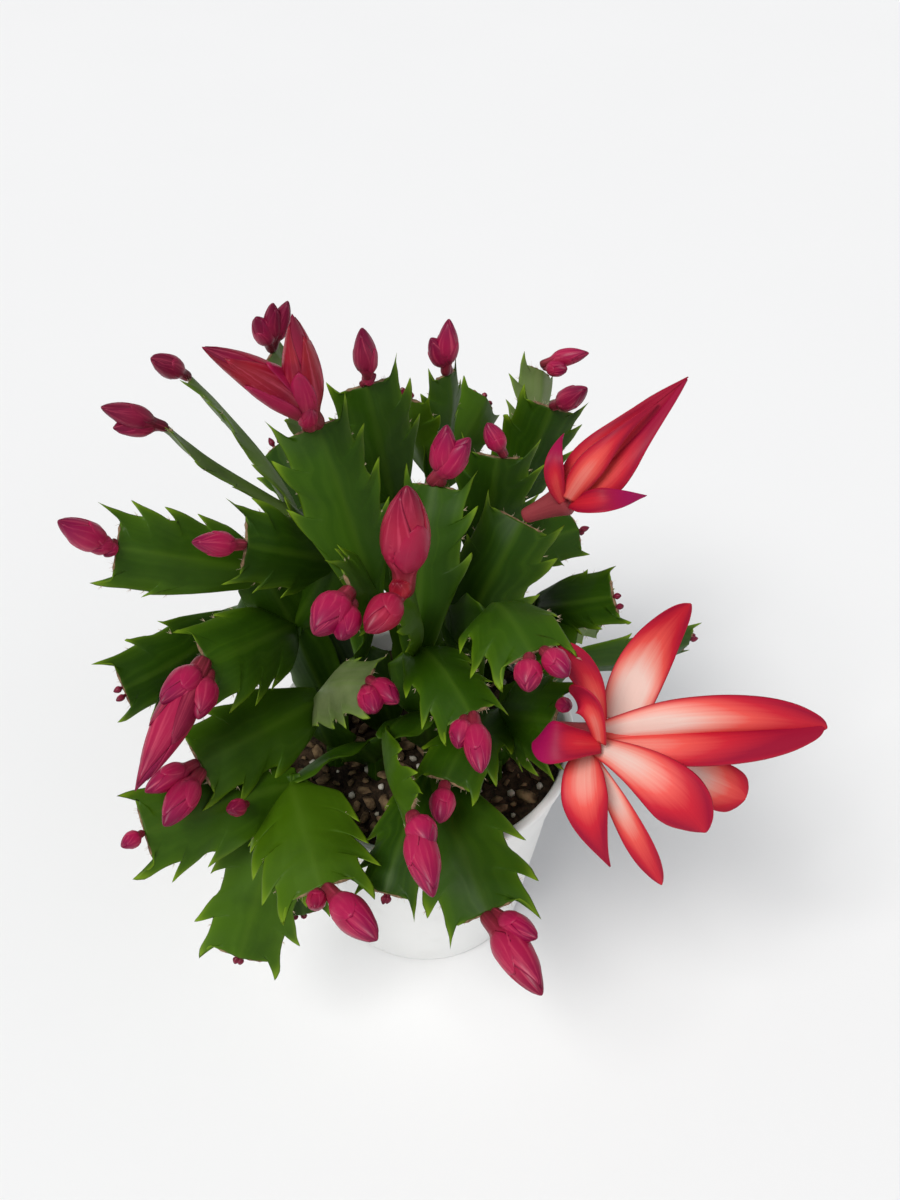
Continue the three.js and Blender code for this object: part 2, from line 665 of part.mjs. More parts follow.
function flowerSolid({ on, seat, throat, tube, heart, petals }) {
  const base = seatOn(PADS[on], ...seat);
  const middle = seen(throat);
  const parts = [
    spindleSolid(base, base.clone().lerp(middle, 1.1), tube, TUBE_PROFILE),
    spindleSolid(base.clone().lerp(middle, 0.85), seen(heart.tip), heart.radius, BUD_PROFILE),
    ...petals.map(petalSolid),
  ];
  return fuse(parts);
}

// ---- The plant in its pot ----

const MATERIALS = {
  pot: new THREE.MeshStandardMaterial({ color: 0xc9cac6, roughness: 0.5, metalness: 0 }),
  soil: new THREE.MeshStandardMaterial({ color: 0x3a2a1e, roughness: 0.95, metalness: 0 }),
  pad: new THREE.MeshStandardMaterial({ color: 0x2f5a10, roughness: 0.45, metalness: 0 }),
  bud: new THREE.MeshStandardMaterial({ color: 0xc7355f, roughness: 0.45, metalness: 0 }),
  petal: new THREE.MeshStandardMaterial({ color: 0xe2503f, roughness: 0.5, metalness: 0 }),
};

const STEM_PARTS = Object.entries(STEMS).map(([name, stem], i) => [name, growStem(name, stem, 11 * i)]);
const PADS = Object.assign({}, ...STEM_PARTS.map(([, { named }]) => named));

const cactus = new THREE.Group();
cactus.name = "potted_christmas_cactus";
cactus.add(meshOf("pot", potSolid(), MATERIALS.pot));
const holes = STEM_PARTS.map(([, { hole }]) => hole);
cactus.add(meshOf("soil", soilSolid(holes), MATERIALS.soil));
for (const [name, stem] of STEM_PARTS) cactus.add(meshOf(`stem_${name}`, stemSolid(stem), MATERIALS.pad));
for (const [name, bunch] of Object.entries(BUNCHES)) cactus.add(meshOf(name, bunchSolid(bunch), MATERIALS.bud));
cactus.add(meshOf("flower_open", flowerSolid(OPEN_FLOWER), MATERIALS.petal));
cactus.add(meshOf("flower_half_open", flowerSolid(HALF_OPEN_FLOWER), MATERIALS.petal));

export default cactus;
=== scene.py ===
"""A potted christmas cactus in bud and flower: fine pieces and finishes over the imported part.

Places are in millimetres until a piece is finished, and +Z is up from the middle of the pot's base.
"""

from math import copysign, cos, exp, hypot, pi, radians, sin, sqrt

import bmesh
import bpy
from mathutils import Matrix, Vector, noise


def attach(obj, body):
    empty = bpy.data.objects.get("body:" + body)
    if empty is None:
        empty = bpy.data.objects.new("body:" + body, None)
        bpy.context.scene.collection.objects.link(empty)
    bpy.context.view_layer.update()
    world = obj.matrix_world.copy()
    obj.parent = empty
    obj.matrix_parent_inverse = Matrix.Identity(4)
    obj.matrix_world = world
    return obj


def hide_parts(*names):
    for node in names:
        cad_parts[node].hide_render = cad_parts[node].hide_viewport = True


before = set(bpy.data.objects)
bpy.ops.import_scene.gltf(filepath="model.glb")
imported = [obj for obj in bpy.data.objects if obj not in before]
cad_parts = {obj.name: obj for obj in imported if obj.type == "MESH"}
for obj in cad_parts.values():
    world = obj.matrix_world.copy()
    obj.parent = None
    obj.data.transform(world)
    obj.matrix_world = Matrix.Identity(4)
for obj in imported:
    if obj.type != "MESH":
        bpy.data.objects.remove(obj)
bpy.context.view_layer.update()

MM = 0.001
WELD = 0.002
BODY = "root"

# ---- The view that the plant is laid out from ----

PITCH = radians(43.87)
DISTANCE = 415.3
VIEW_RIGHT = 9.25
VIEW_UP = 44.87
FOCAL = 1200
VIEW_MIDDLE = (450, 600)
RIM_HEIGHT = 90
FORWARD = Vector((0, cos(PITCH), -sin(PITCH)))
RIGHT = Vector((1, 0, 0))
UP = RIGHT.cross(FORWARD)
EYE = Vector((0, 0, RIM_HEIGHT)) - DISTANCE * FORWARD + VIEW_RIGHT * RIGHT + VIEW_UP * UP


def sight(point):
    """The direction in which a view point is seen, one millimetre deep."""
    across, down = point
    return FORWARD + (across - VIEW_MIDDLE[0]) / FOCAL * RIGHT + (VIEW_MIDDLE[1] - down) / FOCAL * UP


def seen(place):
    """The point at (across, down, near): near is how far towards the viewer it lies from the rim's middle."""
    across, down, near = place
    return EYE + sight((across, down)) * (DISTANCE - near)


def reach(start, to, long):
    """The point at a real distance from a start that is seen at a view point: nearer if long is positive."""
    ray = sight(to)
    offset = EYE - start
    a = ray.dot(ray)
    b = ray.dot(offset)
    c = offset.dot(offset) - long * long
    root = sqrt(max(b * b - a * c, 0))
    return EYE + ray * ((-b - copysign(root, long)) / a)


def facing(base, tip, roll):
    """The face of a blade between two points: square to the viewer at a roll of 0, edge-on at 90 degrees."""
    along = (tip - base).normalized()
    view = (EYE - base.lerp(tip, 0.5)).normalized()
    face = (view - along * view.dot(along)).normalized()
    return Matrix.Rotation(radians(roll), 3, along) @ face


def draw(seed):
    """A repeatable draw between -1 and 1."""
    wave = sin(seed * 127.1 + 311.7) * 43758.5453
    return 2 * (wave % 1) - 1


def clamp(value, low=0, high=1):
    return max(low, min(high, value))


def step(low, high, value):
    """A smooth step from 0 at low to 1 at high."""
    t = clamp((value - low) / (high - low))
    return t * t * (3 - 2 * t)


def spline(rows, steps):
    """A smooth run through rows of numbers, with a number of steps from each row to the next."""

    def blend(a, b, c, d, t):
        bend = 2 * a - 5 * b + 4 * c - d
        turn = 3 * b - a - 3 * c + d
        return 0.5 * (2 * b + (c - a) * t + bend * t**2 + turn * t**3)

    run = []
    for i in range(len(rows) - 1):
        near = [rows[clamp(i + k, 0, len(rows) - 1)] for k in (-1, 0, 1, 2)]
        for k in range(steps):
            run.append(tuple(blend(*four, k / steps) for four in zip(*near)))
    return run + [tuple(rows[-1])]


def at_share(rows, share):
    """The second number of the rows where the first is share, in straight lines from row to row."""
    for (low, start), (high, end) in zip(rows, rows[1:]):
        if share <= high:
            return start + (end - start) * (share - low) / (high - low)
    return rows[-1][1]


# ---- Finishes ----

# The numbers that a piece carries on its points: how far along and across a pad or petal they lie, how near
# its margin, and the tone of the whole pad, bud or petal.
MARKS = ("along", "across", "edge", "tone")


class Wire:
    """A socket of a finish, with the sums that are used on it."""

    def __init__(self, finish, socket):
        self.finish = finish
        self.socket = socket

    def _sum(self, operation, *values):
        return self.finish.node("ShaderNodeMath", {"operation": operation}, dict(enumerate(values)))

    def __add__(self, other):
        return self._sum("ADD", self, other)

    def __sub__(self, other):
        return self._sum("SUBTRACT", self, other)

    def __rsub__(self, other):
        return self._sum("SUBTRACT", other, self)

    def __mul__(self, other):
        return self._sum("MULTIPLY", self, other)

    __radd__ = __add__
    __rmul__ = __mul__


class Finish:
    """A material around one principled shader."""

    def __init__(self, name, **settings):
        self.material = bpy.data.materials.new(name)
        self.material.use_nodes = True
        self.tree = self.material.node_tree
        self.shader = self.tree.nodes["Principled BSDF"]
        for key, value in settings.items():
            self.shader.inputs[key.replace("_", " ")].default_value = value

    def node(self, kind, settings=None, values=None, output=0):
        """Adds a node: its settings first, then the values or links of its sockets."""
        node = self.tree.nodes.new(kind)
        for key, value in (settings or {}).items():
            if key == "stops":
                while len(node.color_ramp.elements) < len(value):
                    node.color_ramp.elements.new(0.5)
                for element, (place, colour) in zip(node.color_ramp.elements, value):
                    element.position = place
                    element.color = (*colour, 1)
            else:
                setattr(node, key, value)
        for key, value in (values or {}).items():
            if isinstance(value, Wire):
                self.tree.links.new(value.socket, node.inputs[key])
            else:
                node.inputs[key].default_value = value
        return Wire(self, node.outputs[output])

    def mark(self, name):
        return self.node("ShaderNodeAttribute", {"attribute_name": name}, output="Fac")

    def marks(self):
        return [self.mark(name) for name in MARKS]

    def size_of(self, value):
        return self.node("ShaderNodeMath", {"operation": "ABSOLUTE"}, {0: value})

    def point(self, x, y, z):
        return self.node("ShaderNodeCombineXYZ", values={"X": x, "Y": y, "Z": z})

    def grain(self, scale, detail, vector=None):
        vector = vector or self.node("ShaderNodeTexCoord", output="Object")
        values = {"Vector": vector, "Scale": scale, "Detail": detail, "Roughness": 0.55}
        return self.node("ShaderNodeTexNoise", values=values, output="Fac")

    def between(self, value, low, high):
        """A smooth rise from 0 at low to 1 at high, also where high is the smaller number."""
        settings = {"interpolation_type": "SMOOTHSTEP"}
        return self.node("ShaderNodeMapRange", settings, {"Value": value, "From Min": low, "From Max": high})

    def mix(self, factor, first, second):
        """Colour first where factor is 0 and second where it is 1."""
        colours = {
            key: value if isinstance(value, Wire) else (*value, 1)
            for key, value in ((6, first), (7, second))
        }
        return self.node("ShaderNodeMix", {"data_type": "RGBA"}, {0: factor, **colours}, output=2)

    def over(self, colour, tint, mask, low, high, share=1):
        """A colour that turns by a share to a tint where a mask rises from low to high."""
        return self.mix(self.between(mask, low, high) * share, colour, tint)

    def ramp(self, value, stops):
        return self.node("ShaderNodeValToRGB", {"stops": stops}, {"Fac": value}, output="Color")

    def feed(self, socket, value):
        self.tree.links.new(value.socket, self.shader.inputs[socket])

    def bump(self, height, strength, distance):
        values = {"Height": height, "Strength": strength, "Distance": distance * MM}
        self.feed("Normal", self.node("ShaderNodeBump", values=values, output="Normal"))

    def done(self, colour, roughness):
        """Feeds the colour and roughness and gives the material."""
        self.feed("Base Color", colour)
        self.feed("Roughness", roughness)
        return self.material


# Colours as (place, colour) stops: of pads from their tone, of buds and petals from neck to tip.
GREENS = [
    (0, (0.013, 0.042, 0.0006)), (0.35, (0.024, 0.07, 0.0008)), (0.65, (0.044, 0.105, 0.0014)),
    (0.85, (0.07, 0.15, 0.003)), (1, (0.15, 0.19, 0.075)),
]
PINKS = [
    (0, (0.11, 0.012, 0.017)), (0.18, (0.22, 0.018, 0.034)), (0.34, (0.42, 0.016, 0.075)),
    (0.62, (0.38, 0.008, 0.066)), (0.86, (0.24, 0.003, 0.052)), (1, (0.14, 0.001, 0.03)),
]
REDS = [
    (0, (0.16, 0.03, 0.026)), (0.2, (0.24, 0.022, 0.03)), (0.42, (0.24, 0.004, 0.016)),
    (0.72, (0.33, 0.012, 0.018)), (1, (0.15, 0.002, 0.01)),
]
WINES = [(0, (0.06, 0.007, 0.01)), (0.5, (0.17, 0.009, 0.03)), (1, (0.1, 0.002, 0.018))]
CORALS = [
    (0, (0.78, 0.55, 0.48)), (0.2, (0.8, 0.3, 0.24)), (0.42, (0.74, 0.085, 0.07)),
    (0.68, (0.52, 0.014, 0.03)), (1, (0.3, 0.003, 0.026)),
]


def pad_finish():
    """Waxy green, from dark to yellow-green and grey-green by each pad's tone; yellow-green at claws and
    margins, partly their own colour and partly a painted glow of light through the thin edge; with a mottle
    and a faint midrib.
    """
    f = Finish("waxy_pad", Coat_Roughness=0.3, Specular_IOR_Level=0.12)
    along, across, edge, tone = f.marks()
    off = f.size_of(across)
    streak = f.grain(1, 3, f.point(across * 5, along * 0.7, tone * 40))
    mottle = f.grain(55, 5)
    fine = f.grain(420, 3)
    rib = 1 - f.between(off, 0, 0.16)
    colour = f.over(f.ramp(tone, GREENS), (0.062, 0.14, 0.004), streak, 0.4, 0.8, 0.35)
    colour = f.over(colour, (0.01, 0.032, 0.0006), mottle, 0.4, 0.75, 0.5)
    colour = f.mix(rib * 0.3 * (1 - along * 0.5), colour, (0.09, 0.17, 0.012))
    colour = f.over(colour, (0.09, 0.19, 0.004), off, 0.55, 1, 0.22)
    # Yellow-green rim: partly the margin's own colour, partly a painted glow of light shining through the
    # thin edge.
    colour = f.over(colour, (0.2, 0.32, 0.012), edge, 0.2, 1, 0.85)
    f.feed("Coat Weight", 0.1 * streak)
    f.bump(0.3 * streak + 0.12 * fine + 0.5 * rib + 0.4 * mottle, 0.3, 0.5)
    return f.done(colour, 0.36 + 0.2 * mottle + 0.08 * fine)


def bud_finish():
    """Pink, red or wine tepals: dull at the neck, with pale streaks that are painted highlights and a darker
    line at each margin.
    """
    f = Finish("bud_skin", Coat_Roughness=0.25, Specular_IOR_Level=0.15)
    along, across, edge, tone = f.marks()
    streak = f.grain(1, 5, f.point(across * 5, along * 1.6, tone * 30))
    colour = f.over(f.ramp(along, PINKS), f.ramp(along, REDS), tone, 0.4, 0.8)
    colour = f.over(colour, f.ramp(along, WINES), tone, 0.4, 0.05)
    # Pale pink streaks: painted highlights, standing in for the soft gloss patches on the tepals.
    colour = f.over(colour, (0.62, 0.07, 0.13), streak, 0.48, 0.75, 0.55)
    colour = f.over(colour, (0.16, 0.002, 0.03), f.grain(90, 4), 0.5, 0.75, 0.4)
    colour = f.over(colour, (0.18, 0.003, 0.035), edge, 0.5, 1, 0.3)
    f.feed("Coat Weight", 0.05 + 0.15 * streak)
    f.bump(0.5 * streak + 0.2 * f.grain(500, 2), 0.25, 0.3)
    return f.done(colour, 0.34 + 0.2 * streak)


def petal_finish():
    """Silky petals: peach-white in the middle, then coral, with crimson margins and some magenta tips."""
    f = Finish("silky_petal", Coat_Weight=0.04, Coat_Roughness=0.35, Specular_IOR_Level=0.14)
    along, across, edge, tone = f.marks()
    off = f.size_of(across)
    streak = f.grain(1, 5, f.point(across * 8, along * 1.2, tone * 50))
    flush = off * off * 0.5 + f.between(along, 0.25, 1) * 0.8
    flush = flush + (streak - 0.5) * 0.2 + tone * 0.8 - 0.08
    colour = f.over(f.ramp(flush, CORALS), (0.46, 0.007, 0.03), edge, 0.3, 1, 0.7)
    colour = f.over(colour, (0.32, 0.003, 0.075), along, 0.4, 0.85, f.between(tone, 0.6, 0.95))
    tube = f.mix(streak, (0.22, 0.025, 0.035), (0.32, 0.055, 0.06))
    colour = f.over(colour, tube, tone, 1.1, 1.3)
    f.bump(0.7 * streak + 0.2 * f.grain(420, 2), 0.35, 0.4)
    return f.done(colour, 0.42 + 0.18 * streak)


def pot_finish():
    """Thin pale plastic, a little scuffed and dusted with soil."""
    f = Finish("pale_plastic", Specular_IOR_Level=0.45)
    scuff = f.grain(30, 5)
    dust = f.grain(85, 6)
    colour = f.over((0.89, 0.89, 0.87), (0.92, 0.92, 0.9), scuff, 0.3, 0.75)
    colour = f.over(colour, (0.34, 0.3, 0.25), dust, 0.52, 0.78, 0.07)
    f.bump(0.4 * scuff + 0.25 * f.grain(420, 3), 0.2, 0.4)
    return f.done(colour, 0.4 + 0.2 * scuff)


def soil_finish():
    f = Finish("potting_mix", Specular_IOR_Level=0.25)
    crumb = f.grain(320, 6)
    colour = f.over((0.012, 0.007, 0.004), (0.075, 0.044, 0.024), crumb, 0.35, 0.7)
    colour = f.over(colour, (0.1, 0.065, 0.036), f.grain(60, 4), 0.45, 0.75, 0.5)
    f.bump(crumb + 0.5 * f.grain(900, 3), 0.9, 1.2)
    return f.done(colour, 0.85 + 0.12 * crumb)


def chip_finish():
    """Brown bark where the tone is low and pale grit where it is high."""
    f = Finish("bark_and_grit", Specular_IOR_Level=0.25)
    grain = f.grain(240, 5)
    bark = f.over((0.07, 0.04, 0.02), (0.32, 0.21, 0.11), grain, 0.35, 0.7)
    grit = f.over((0.42, 0.38, 0.3), (0.72, 0.68, 0.6), grain, 0.3, 0.75)
    f.bump(grain, 0.7, 0.6)
    return f.done(f.over(bark, grit, f.mark("tone"), 0.6, 0.7), 0.8 + 0.15 * grain)


def fuzz_finish():
    """Tan felt and fine pale bristles of the cut-off ends and notches."""
    f = Finish("tan_felt", Specular_IOR_Level=0.2)
    grain = f.grain(700, 3)
    felt = f.over((0.13, 0.075, 0.04), (0.3, 0.2, 0.11), grain, 0.3, 0.7)
    return f.done(f.mix(f.mark("along"), felt, (0.62, 0.5, 0.34)), 0.75 + 0.2 * grain)


def floor_finish():
    f = Finish("pale_floor")
    return f.done(f.mix(f.grain(3, 3), (0.86, 0.86, 0.86), (0.88, 0.88, 0.88)), 0.7 + 0.1 * f.grain(9, 2))


PAD_FINISH = pad_finish()
BUD_FINISH = bud_finish()
PETAL_FINISH = petal_finish()
FUZZ_FINISH = fuzz_finish()


# ---- Skins: shapes wrapped from a grid ----


def new_mesh():
    mesh = bmesh.new()
    for name in MARKS:
        mesh.verts.layers.float.new(name)
    return mesh


def wrap(mesh, around, along, place):
    """Wraps a grid into a tube: place(turn, row) gives a point and its marks, with turn from 0 to 1.

    Rows whose points all meet in one close its ends.
    """
    made = bmesh.ops.create_grid(mesh, x_segments=around, y_segments=along, size=0.5)["verts"]
    layers = [mesh.verts.layers.float[name] for name in MARKS]
    for vert in made:
        point, *marks = place(vert.co.x + 0.5, round((vert.co.y + 0.5) * along))
        vert.co = point
        for layer, mark in zip(layers, marks):
            vert[layer] = mark
    bmesh.ops.remove_doubles(mesh, verts=made, dist=WELD)
    faces = list({face for vert in made if vert.is_valid for face in vert.link_faces})
    bmesh.ops.recalc_face_normals(mesh, faces=faces)


def across_skin(turn):
    """The lean across a flat skin, -1 to 1, and the rise towards its face or back, at a turn round it."""
    return -cos(2 * pi * turn), sin(2 * pi * turn)


def finish_piece(mesh, name, material, replaced=None):
    """Makes an object of a mesh that is laid out in millimetres."""
    for face in mesh.faces:
        face.smooth = True
    bmesh.ops.scale(mesh, vec=(MM, MM, MM), verts=mesh.verts)
    data = bpy.data.meshes.new(name)
    mesh.to_mesh(data)
    mesh.free()
    data.materials.append(material)
    piece = bpy.data.objects.new(name, data)
    bpy.context.scene.collection.objects.link(piece)
    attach(piece, BODY)
    if replaced:
        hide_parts(replaced)


class Curve:
    """A smooth curve from a start, towards a control, to an end, with a face that its width is square to."""

    def __init__(self, start, control, end, face):
        self.points = (start, control, end)
        self.face = face
        places = [self.at(i / 24) for i in range(25)]
        self.long = sum((b - a).length for a, b in zip(places, places[1:]))

    def at(self, share):
        a, b, c = self.points
        return a * (1 - share) ** 2 + b * (2 * share * (1 - share)) + c * share**2

    def frame(self, share, twist):
        """The place at a share of the curve, with its directions along, across and out of the face."""
        a, b, c = self.points
        held = clamp(share)
        along = ((b - a) * (1 - held) + (c - b) * held).normalized()
        across = self.face.cross(along).normalized()
        across = Matrix.Rotation(twist, 3, along) @ across
        out = along.cross(across)
        place = self.at(held) + along * ((share - held) * self.long)
        return place, along, across, out


# ---- Pads ----

SOIL_Z = 82
STALK_ABOVE = 7
STALK_SUNK = 4
STALK_LONG = 15
STALK_RADIUS = 3.2
STALK_BODY = [(0, 0.9), (0.3, 1), (0.6, 0.85), (0.85, 0.9), (1, 0.3)]
INNER_LONG = 36
INNER_WIDE = 20
PAD_SINK = 3
AROUND_PAD = 24
EDGE_STEPS = 2

# The edge of a plain old pad: (share of its length, share of its half width, half widths ahead, claw).
PLAIN_SIDE = [
    (0, 0.28, 0, 0), (0.12, 0.6, 0.06, 0), (0.3, 0.94, 0.2, 0), (0.4, 1, 0.26, 0.2), (0.5, 0.9, 0.22, 0),
    (0.65, 0.92, 0.2, 0), (0.78, 0.9, 0.24, 0.3), (0.85, 0.76, 0.16, 0), (1, 0.45, 0, 0),
]
# The edge of a clawed pad runs through points of (millimetres ahead, millimetres outwards, how near the tip
# of a claw), for a pad of this half width and length. They are measured from the notch that a tooth points
# over, and those of the horn at the end from the last notch.
PAD_HALF = 14.5
PAD_LONG = 49
TOOTH = [
    (-8, 0.5, 0), (-5.4, 1.9, 0.1), (-2.8, 3.1, 0.2), (-0.2, 4, 0.35), (2, 4.7, 0.6), (4.3, 5.3, 1),
    (3.1, 3.5, 0.6), (1.5, 1.6, 0.2), (0, 0, 0),
]
HORN = [
    (4.2, 0.4, 0), (7.1, 1, 0.1), (10.4, 1.5, 0.5), (13.5, 1.6, 1), (10.8, 0.8, 0.7), (8.8, -0.2, 0.4),
    (7.5, -1.4, 0.1),
]
HORN_GAP = 7.6
# The teeth of each kind of side, from its neck: (how far the notch is from the end, how large the claw is).
TEETH = [
    [(28, 0.65), (17.7, 0.8), (7.6, 0.8)],
    [(22, 0.8), (8.5, 0.9)],
    [(31, 0.4), (19.5, 0.65), (8, 0.75)],
    [(24, 0.45), (11, 0.5)],
    [(13, 0.25)],
]
NECK = [(0, 0.27), (0.05, 0.33), (0.12, 0.45)]
NOTCH_WIDE = [(0, 0.3), (6, 0.48), (12, 0.66), (20, 0.75), (32, 0.77), (42, 0.7), (60, 0.66)]
END_WIDE = 0.56
NOTCH_LEAD = 2.5


def clawed_side(kind, long, half):
    """The rows of one side: (share of the length, share of the half width, half widths ahead, claw)."""
    size = half / PAD_HALF
    spread = long / PAD_LONG
    edge = [(share * long, wide * half, 0) for share, wide in NECK]
    spine = [0, 0.05 * long, 0.11 * long]
    for gap, claw_size in TEETH[kind]:
        notch = long - gap * spread
        wide = at_share(NOTCH_WIDE, notch / spread) * half
        start = spine[-1]
        for k, (ahead, out, claw) in enumerate(TOOTH):
            grown = size * (claw_size if ahead > 0 else 1)
            edge.append((notch + ahead * grown, wide + out * size * claw_size, claw))
            spine.append(start + (notch - NOTCH_LEAD * size - start) * (k + 1) / len(TOOTH))
    start = spine[-1]
    horn = size * (0.6 + 0.4 * claw_size)
    room = long - notch
    for k, (ahead, out, claw) in enumerate(HORN):
        behind = claw < 0.4 and ahead < 8
        grown = ahead * room / HORN_GAP if behind else room + (ahead - HORN_GAP) * horn
        edge.append((notch + grown, wide + out * horn - 0.02 * half, claw))
        spine.append(start + (long - start) * (k + 1) / (len(HORN) + 1))
    edge.append((long, END_WIDE * half, 0))
    spine.append(long)
    return [(at / long, out / half, (u - at) / half, claw) for at, (u, out, claw) in zip(spine, edge)]


def filled(side, rows):
    """A side with as many rows as the other: the spare ones go in its widest gaps."""
    side = list(side)
    while len(side) < rows:
        gaps = [after[0] - before[0] for before, after in zip(side, side[1:])]
        i = gaps.index(max(gaps))
        side.insert(i + 1, tuple((a + b) / 2 for a, b in zip(side[i], side[i + 1])))
    return side


def half_thick(lean, share, claw):
    """Half a pad's thickness: most along the midrib, less at the margin and towards both ends."""
    swell = 0.5 + 0.75 * (1 - abs(lean)) + 0.35 * exp(-((lean / 0.16) ** 2))
    veins = 0.1 * cos(lean * 15 + 4 * share) * (1 - abs(lean))
    ends = (0.75 + 0.25 * step(0, 0.15, share)) * (1 - 0.35 * step(0.8, 1, share))
    return (swell + veins) * ends * (1 - 0.35 * claw * abs(lean))


class Pad:
    """One flat pad, from its neck in what it grows from to its cut-off end."""

    def __init__(self, base, tip, face, wide, arch, seed, clawed=True, tone=0.25, kinds=None):
        self.base = base
        self.tip = tip
        self.face = face
        self.half = wide / 2
        self.seed = seed
        self.clawed = clawed
        self.tone = tone
        bow = base.lerp(tip, 0.5) + face * (2 * arch)
        root = base - (bow - base).normalized() * PAD_SINK
        self.curve = Curve(root, bow, tip, face)
        kinds = kinds or [int(2 * (draw(seed * 2.3 + 40 * hand) + 1)) for hand in (-1, 1)]
        long = self.curve.long
        sides = [clawed_side(kind, long, self.half) if clawed else PLAIN_SIDE for kind in kinds]
        sides = [self.varied(side, 2 * k - 1) for k, side in enumerate(sides)]
        rows = max(len(side) for side in sides)
        self.sides = [spline(filled(side, rows), EDGE_STEPS) for side in sides]

    def varied(self, side, hand):
        """The edge of this pad on one hand, a little different from the next pad's."""
        slow = draw(self.seed * 1.7 + 31 * hand)
        rows = []
        for share, width, ahead, claw in side:
            belly = sin(pi * share)
            swell = 1 + 0.06 * draw(self.seed + 57 * hand) * belly
            swell += 0.08 * claw * draw(self.seed + 5 * round(4 * share) + 11 * hand)
            rows.append((share + 0.02 * slow * belly, width * swell, ahead * (1 + 0.12 * slow), claw))
        return rows

    def spot(self, lean, row, side=0):
        """The point at a lean, -1 to 1, and a row of the edge: side is 1 on the face and -1 on the back."""
        (first, *_), (last, *_) = (rows[row] for rows in self.sides)
        _, width, ahead, claw = self.sides[lean > 0][row]
        share = first + (last - first) * (lean + 1) / 2
        share += ahead * lean * lean * self.half / self.curve.long
        twist = 0.05 * draw(self.seed + 90)
        place, along, across, out = self.curve.frame(share, twist * (share - 0.5))
        away = lean * width * self.half
        sag = 0.1 * abs(away) + 0.012 * away * away
        wave = 0.9 * lean * lean * sin(share * 11 + self.seed + 3 * (lean > 0))
        wave += 0.35 * sin(share * 7 + 2.4 * lean + self.seed * 1.9)
        thick = half_thick(lean, share, claw)
        return place + across * away + out * (side * thick - sag + wave), along, out

    def build(self, mesh):
        last = len(self.sides[0]) - 1

        def place(turn, row):
            lean, rise = across_skin(turn)
            at = clamp(row - 1, 0, last)
            closed = row in (0, last + 2) or abs(rise) < 1e-6
            side = 0 if closed else copysign(abs(rise) ** 0.7, rise)
            share, _, _, claw = self.sides[lean > 0][at]
            # The margin mark also carries a painted glow of light through the thin rim, and a band of it at
            # the cut-off end.
            glow = abs(lean) ** 6 * (0.45 + 0.55 * claw) if self.clawed else 0.3 * abs(lean) ** 6
            return self.spot(lean, at, side)[0], share, lean, glow + 0.3 * step(0.9, 1, share), self.tone

        wrap(mesh, AROUND_PAD, last + 2, place)


# ---- The cuttings ----

# Each cutting rises from its hole in the soil by old inner pads to its fork.
ROOTS = {
    "back_left": ((-23, 16), (-35, 22, 122)),
    "tall_left": ((-11, 2), (-19, -3, 131)),
    "top": ((1, 16), (-4, 22, 134)),
    "middle": ((3, -8), (2, -22, 124)),
    "right_top": ((12, 8), (12, 4, 130)),
    "back_right": ((18, 22), (26, 28, 124)),
    "right": ((30, 6), (44, 8, 114)),
    "front_right": ((24, -14), (25, -15, 116)),
    "front": ((6, -26), (3, -36, 112)),
    "front_left": ((-16, -12), (-20, -17, 102)),
    "left_upper": ((-30, 6), (-41, 4, 137)),
    "left_lower": ((-30, -8), (-34, -10, 116)),
}

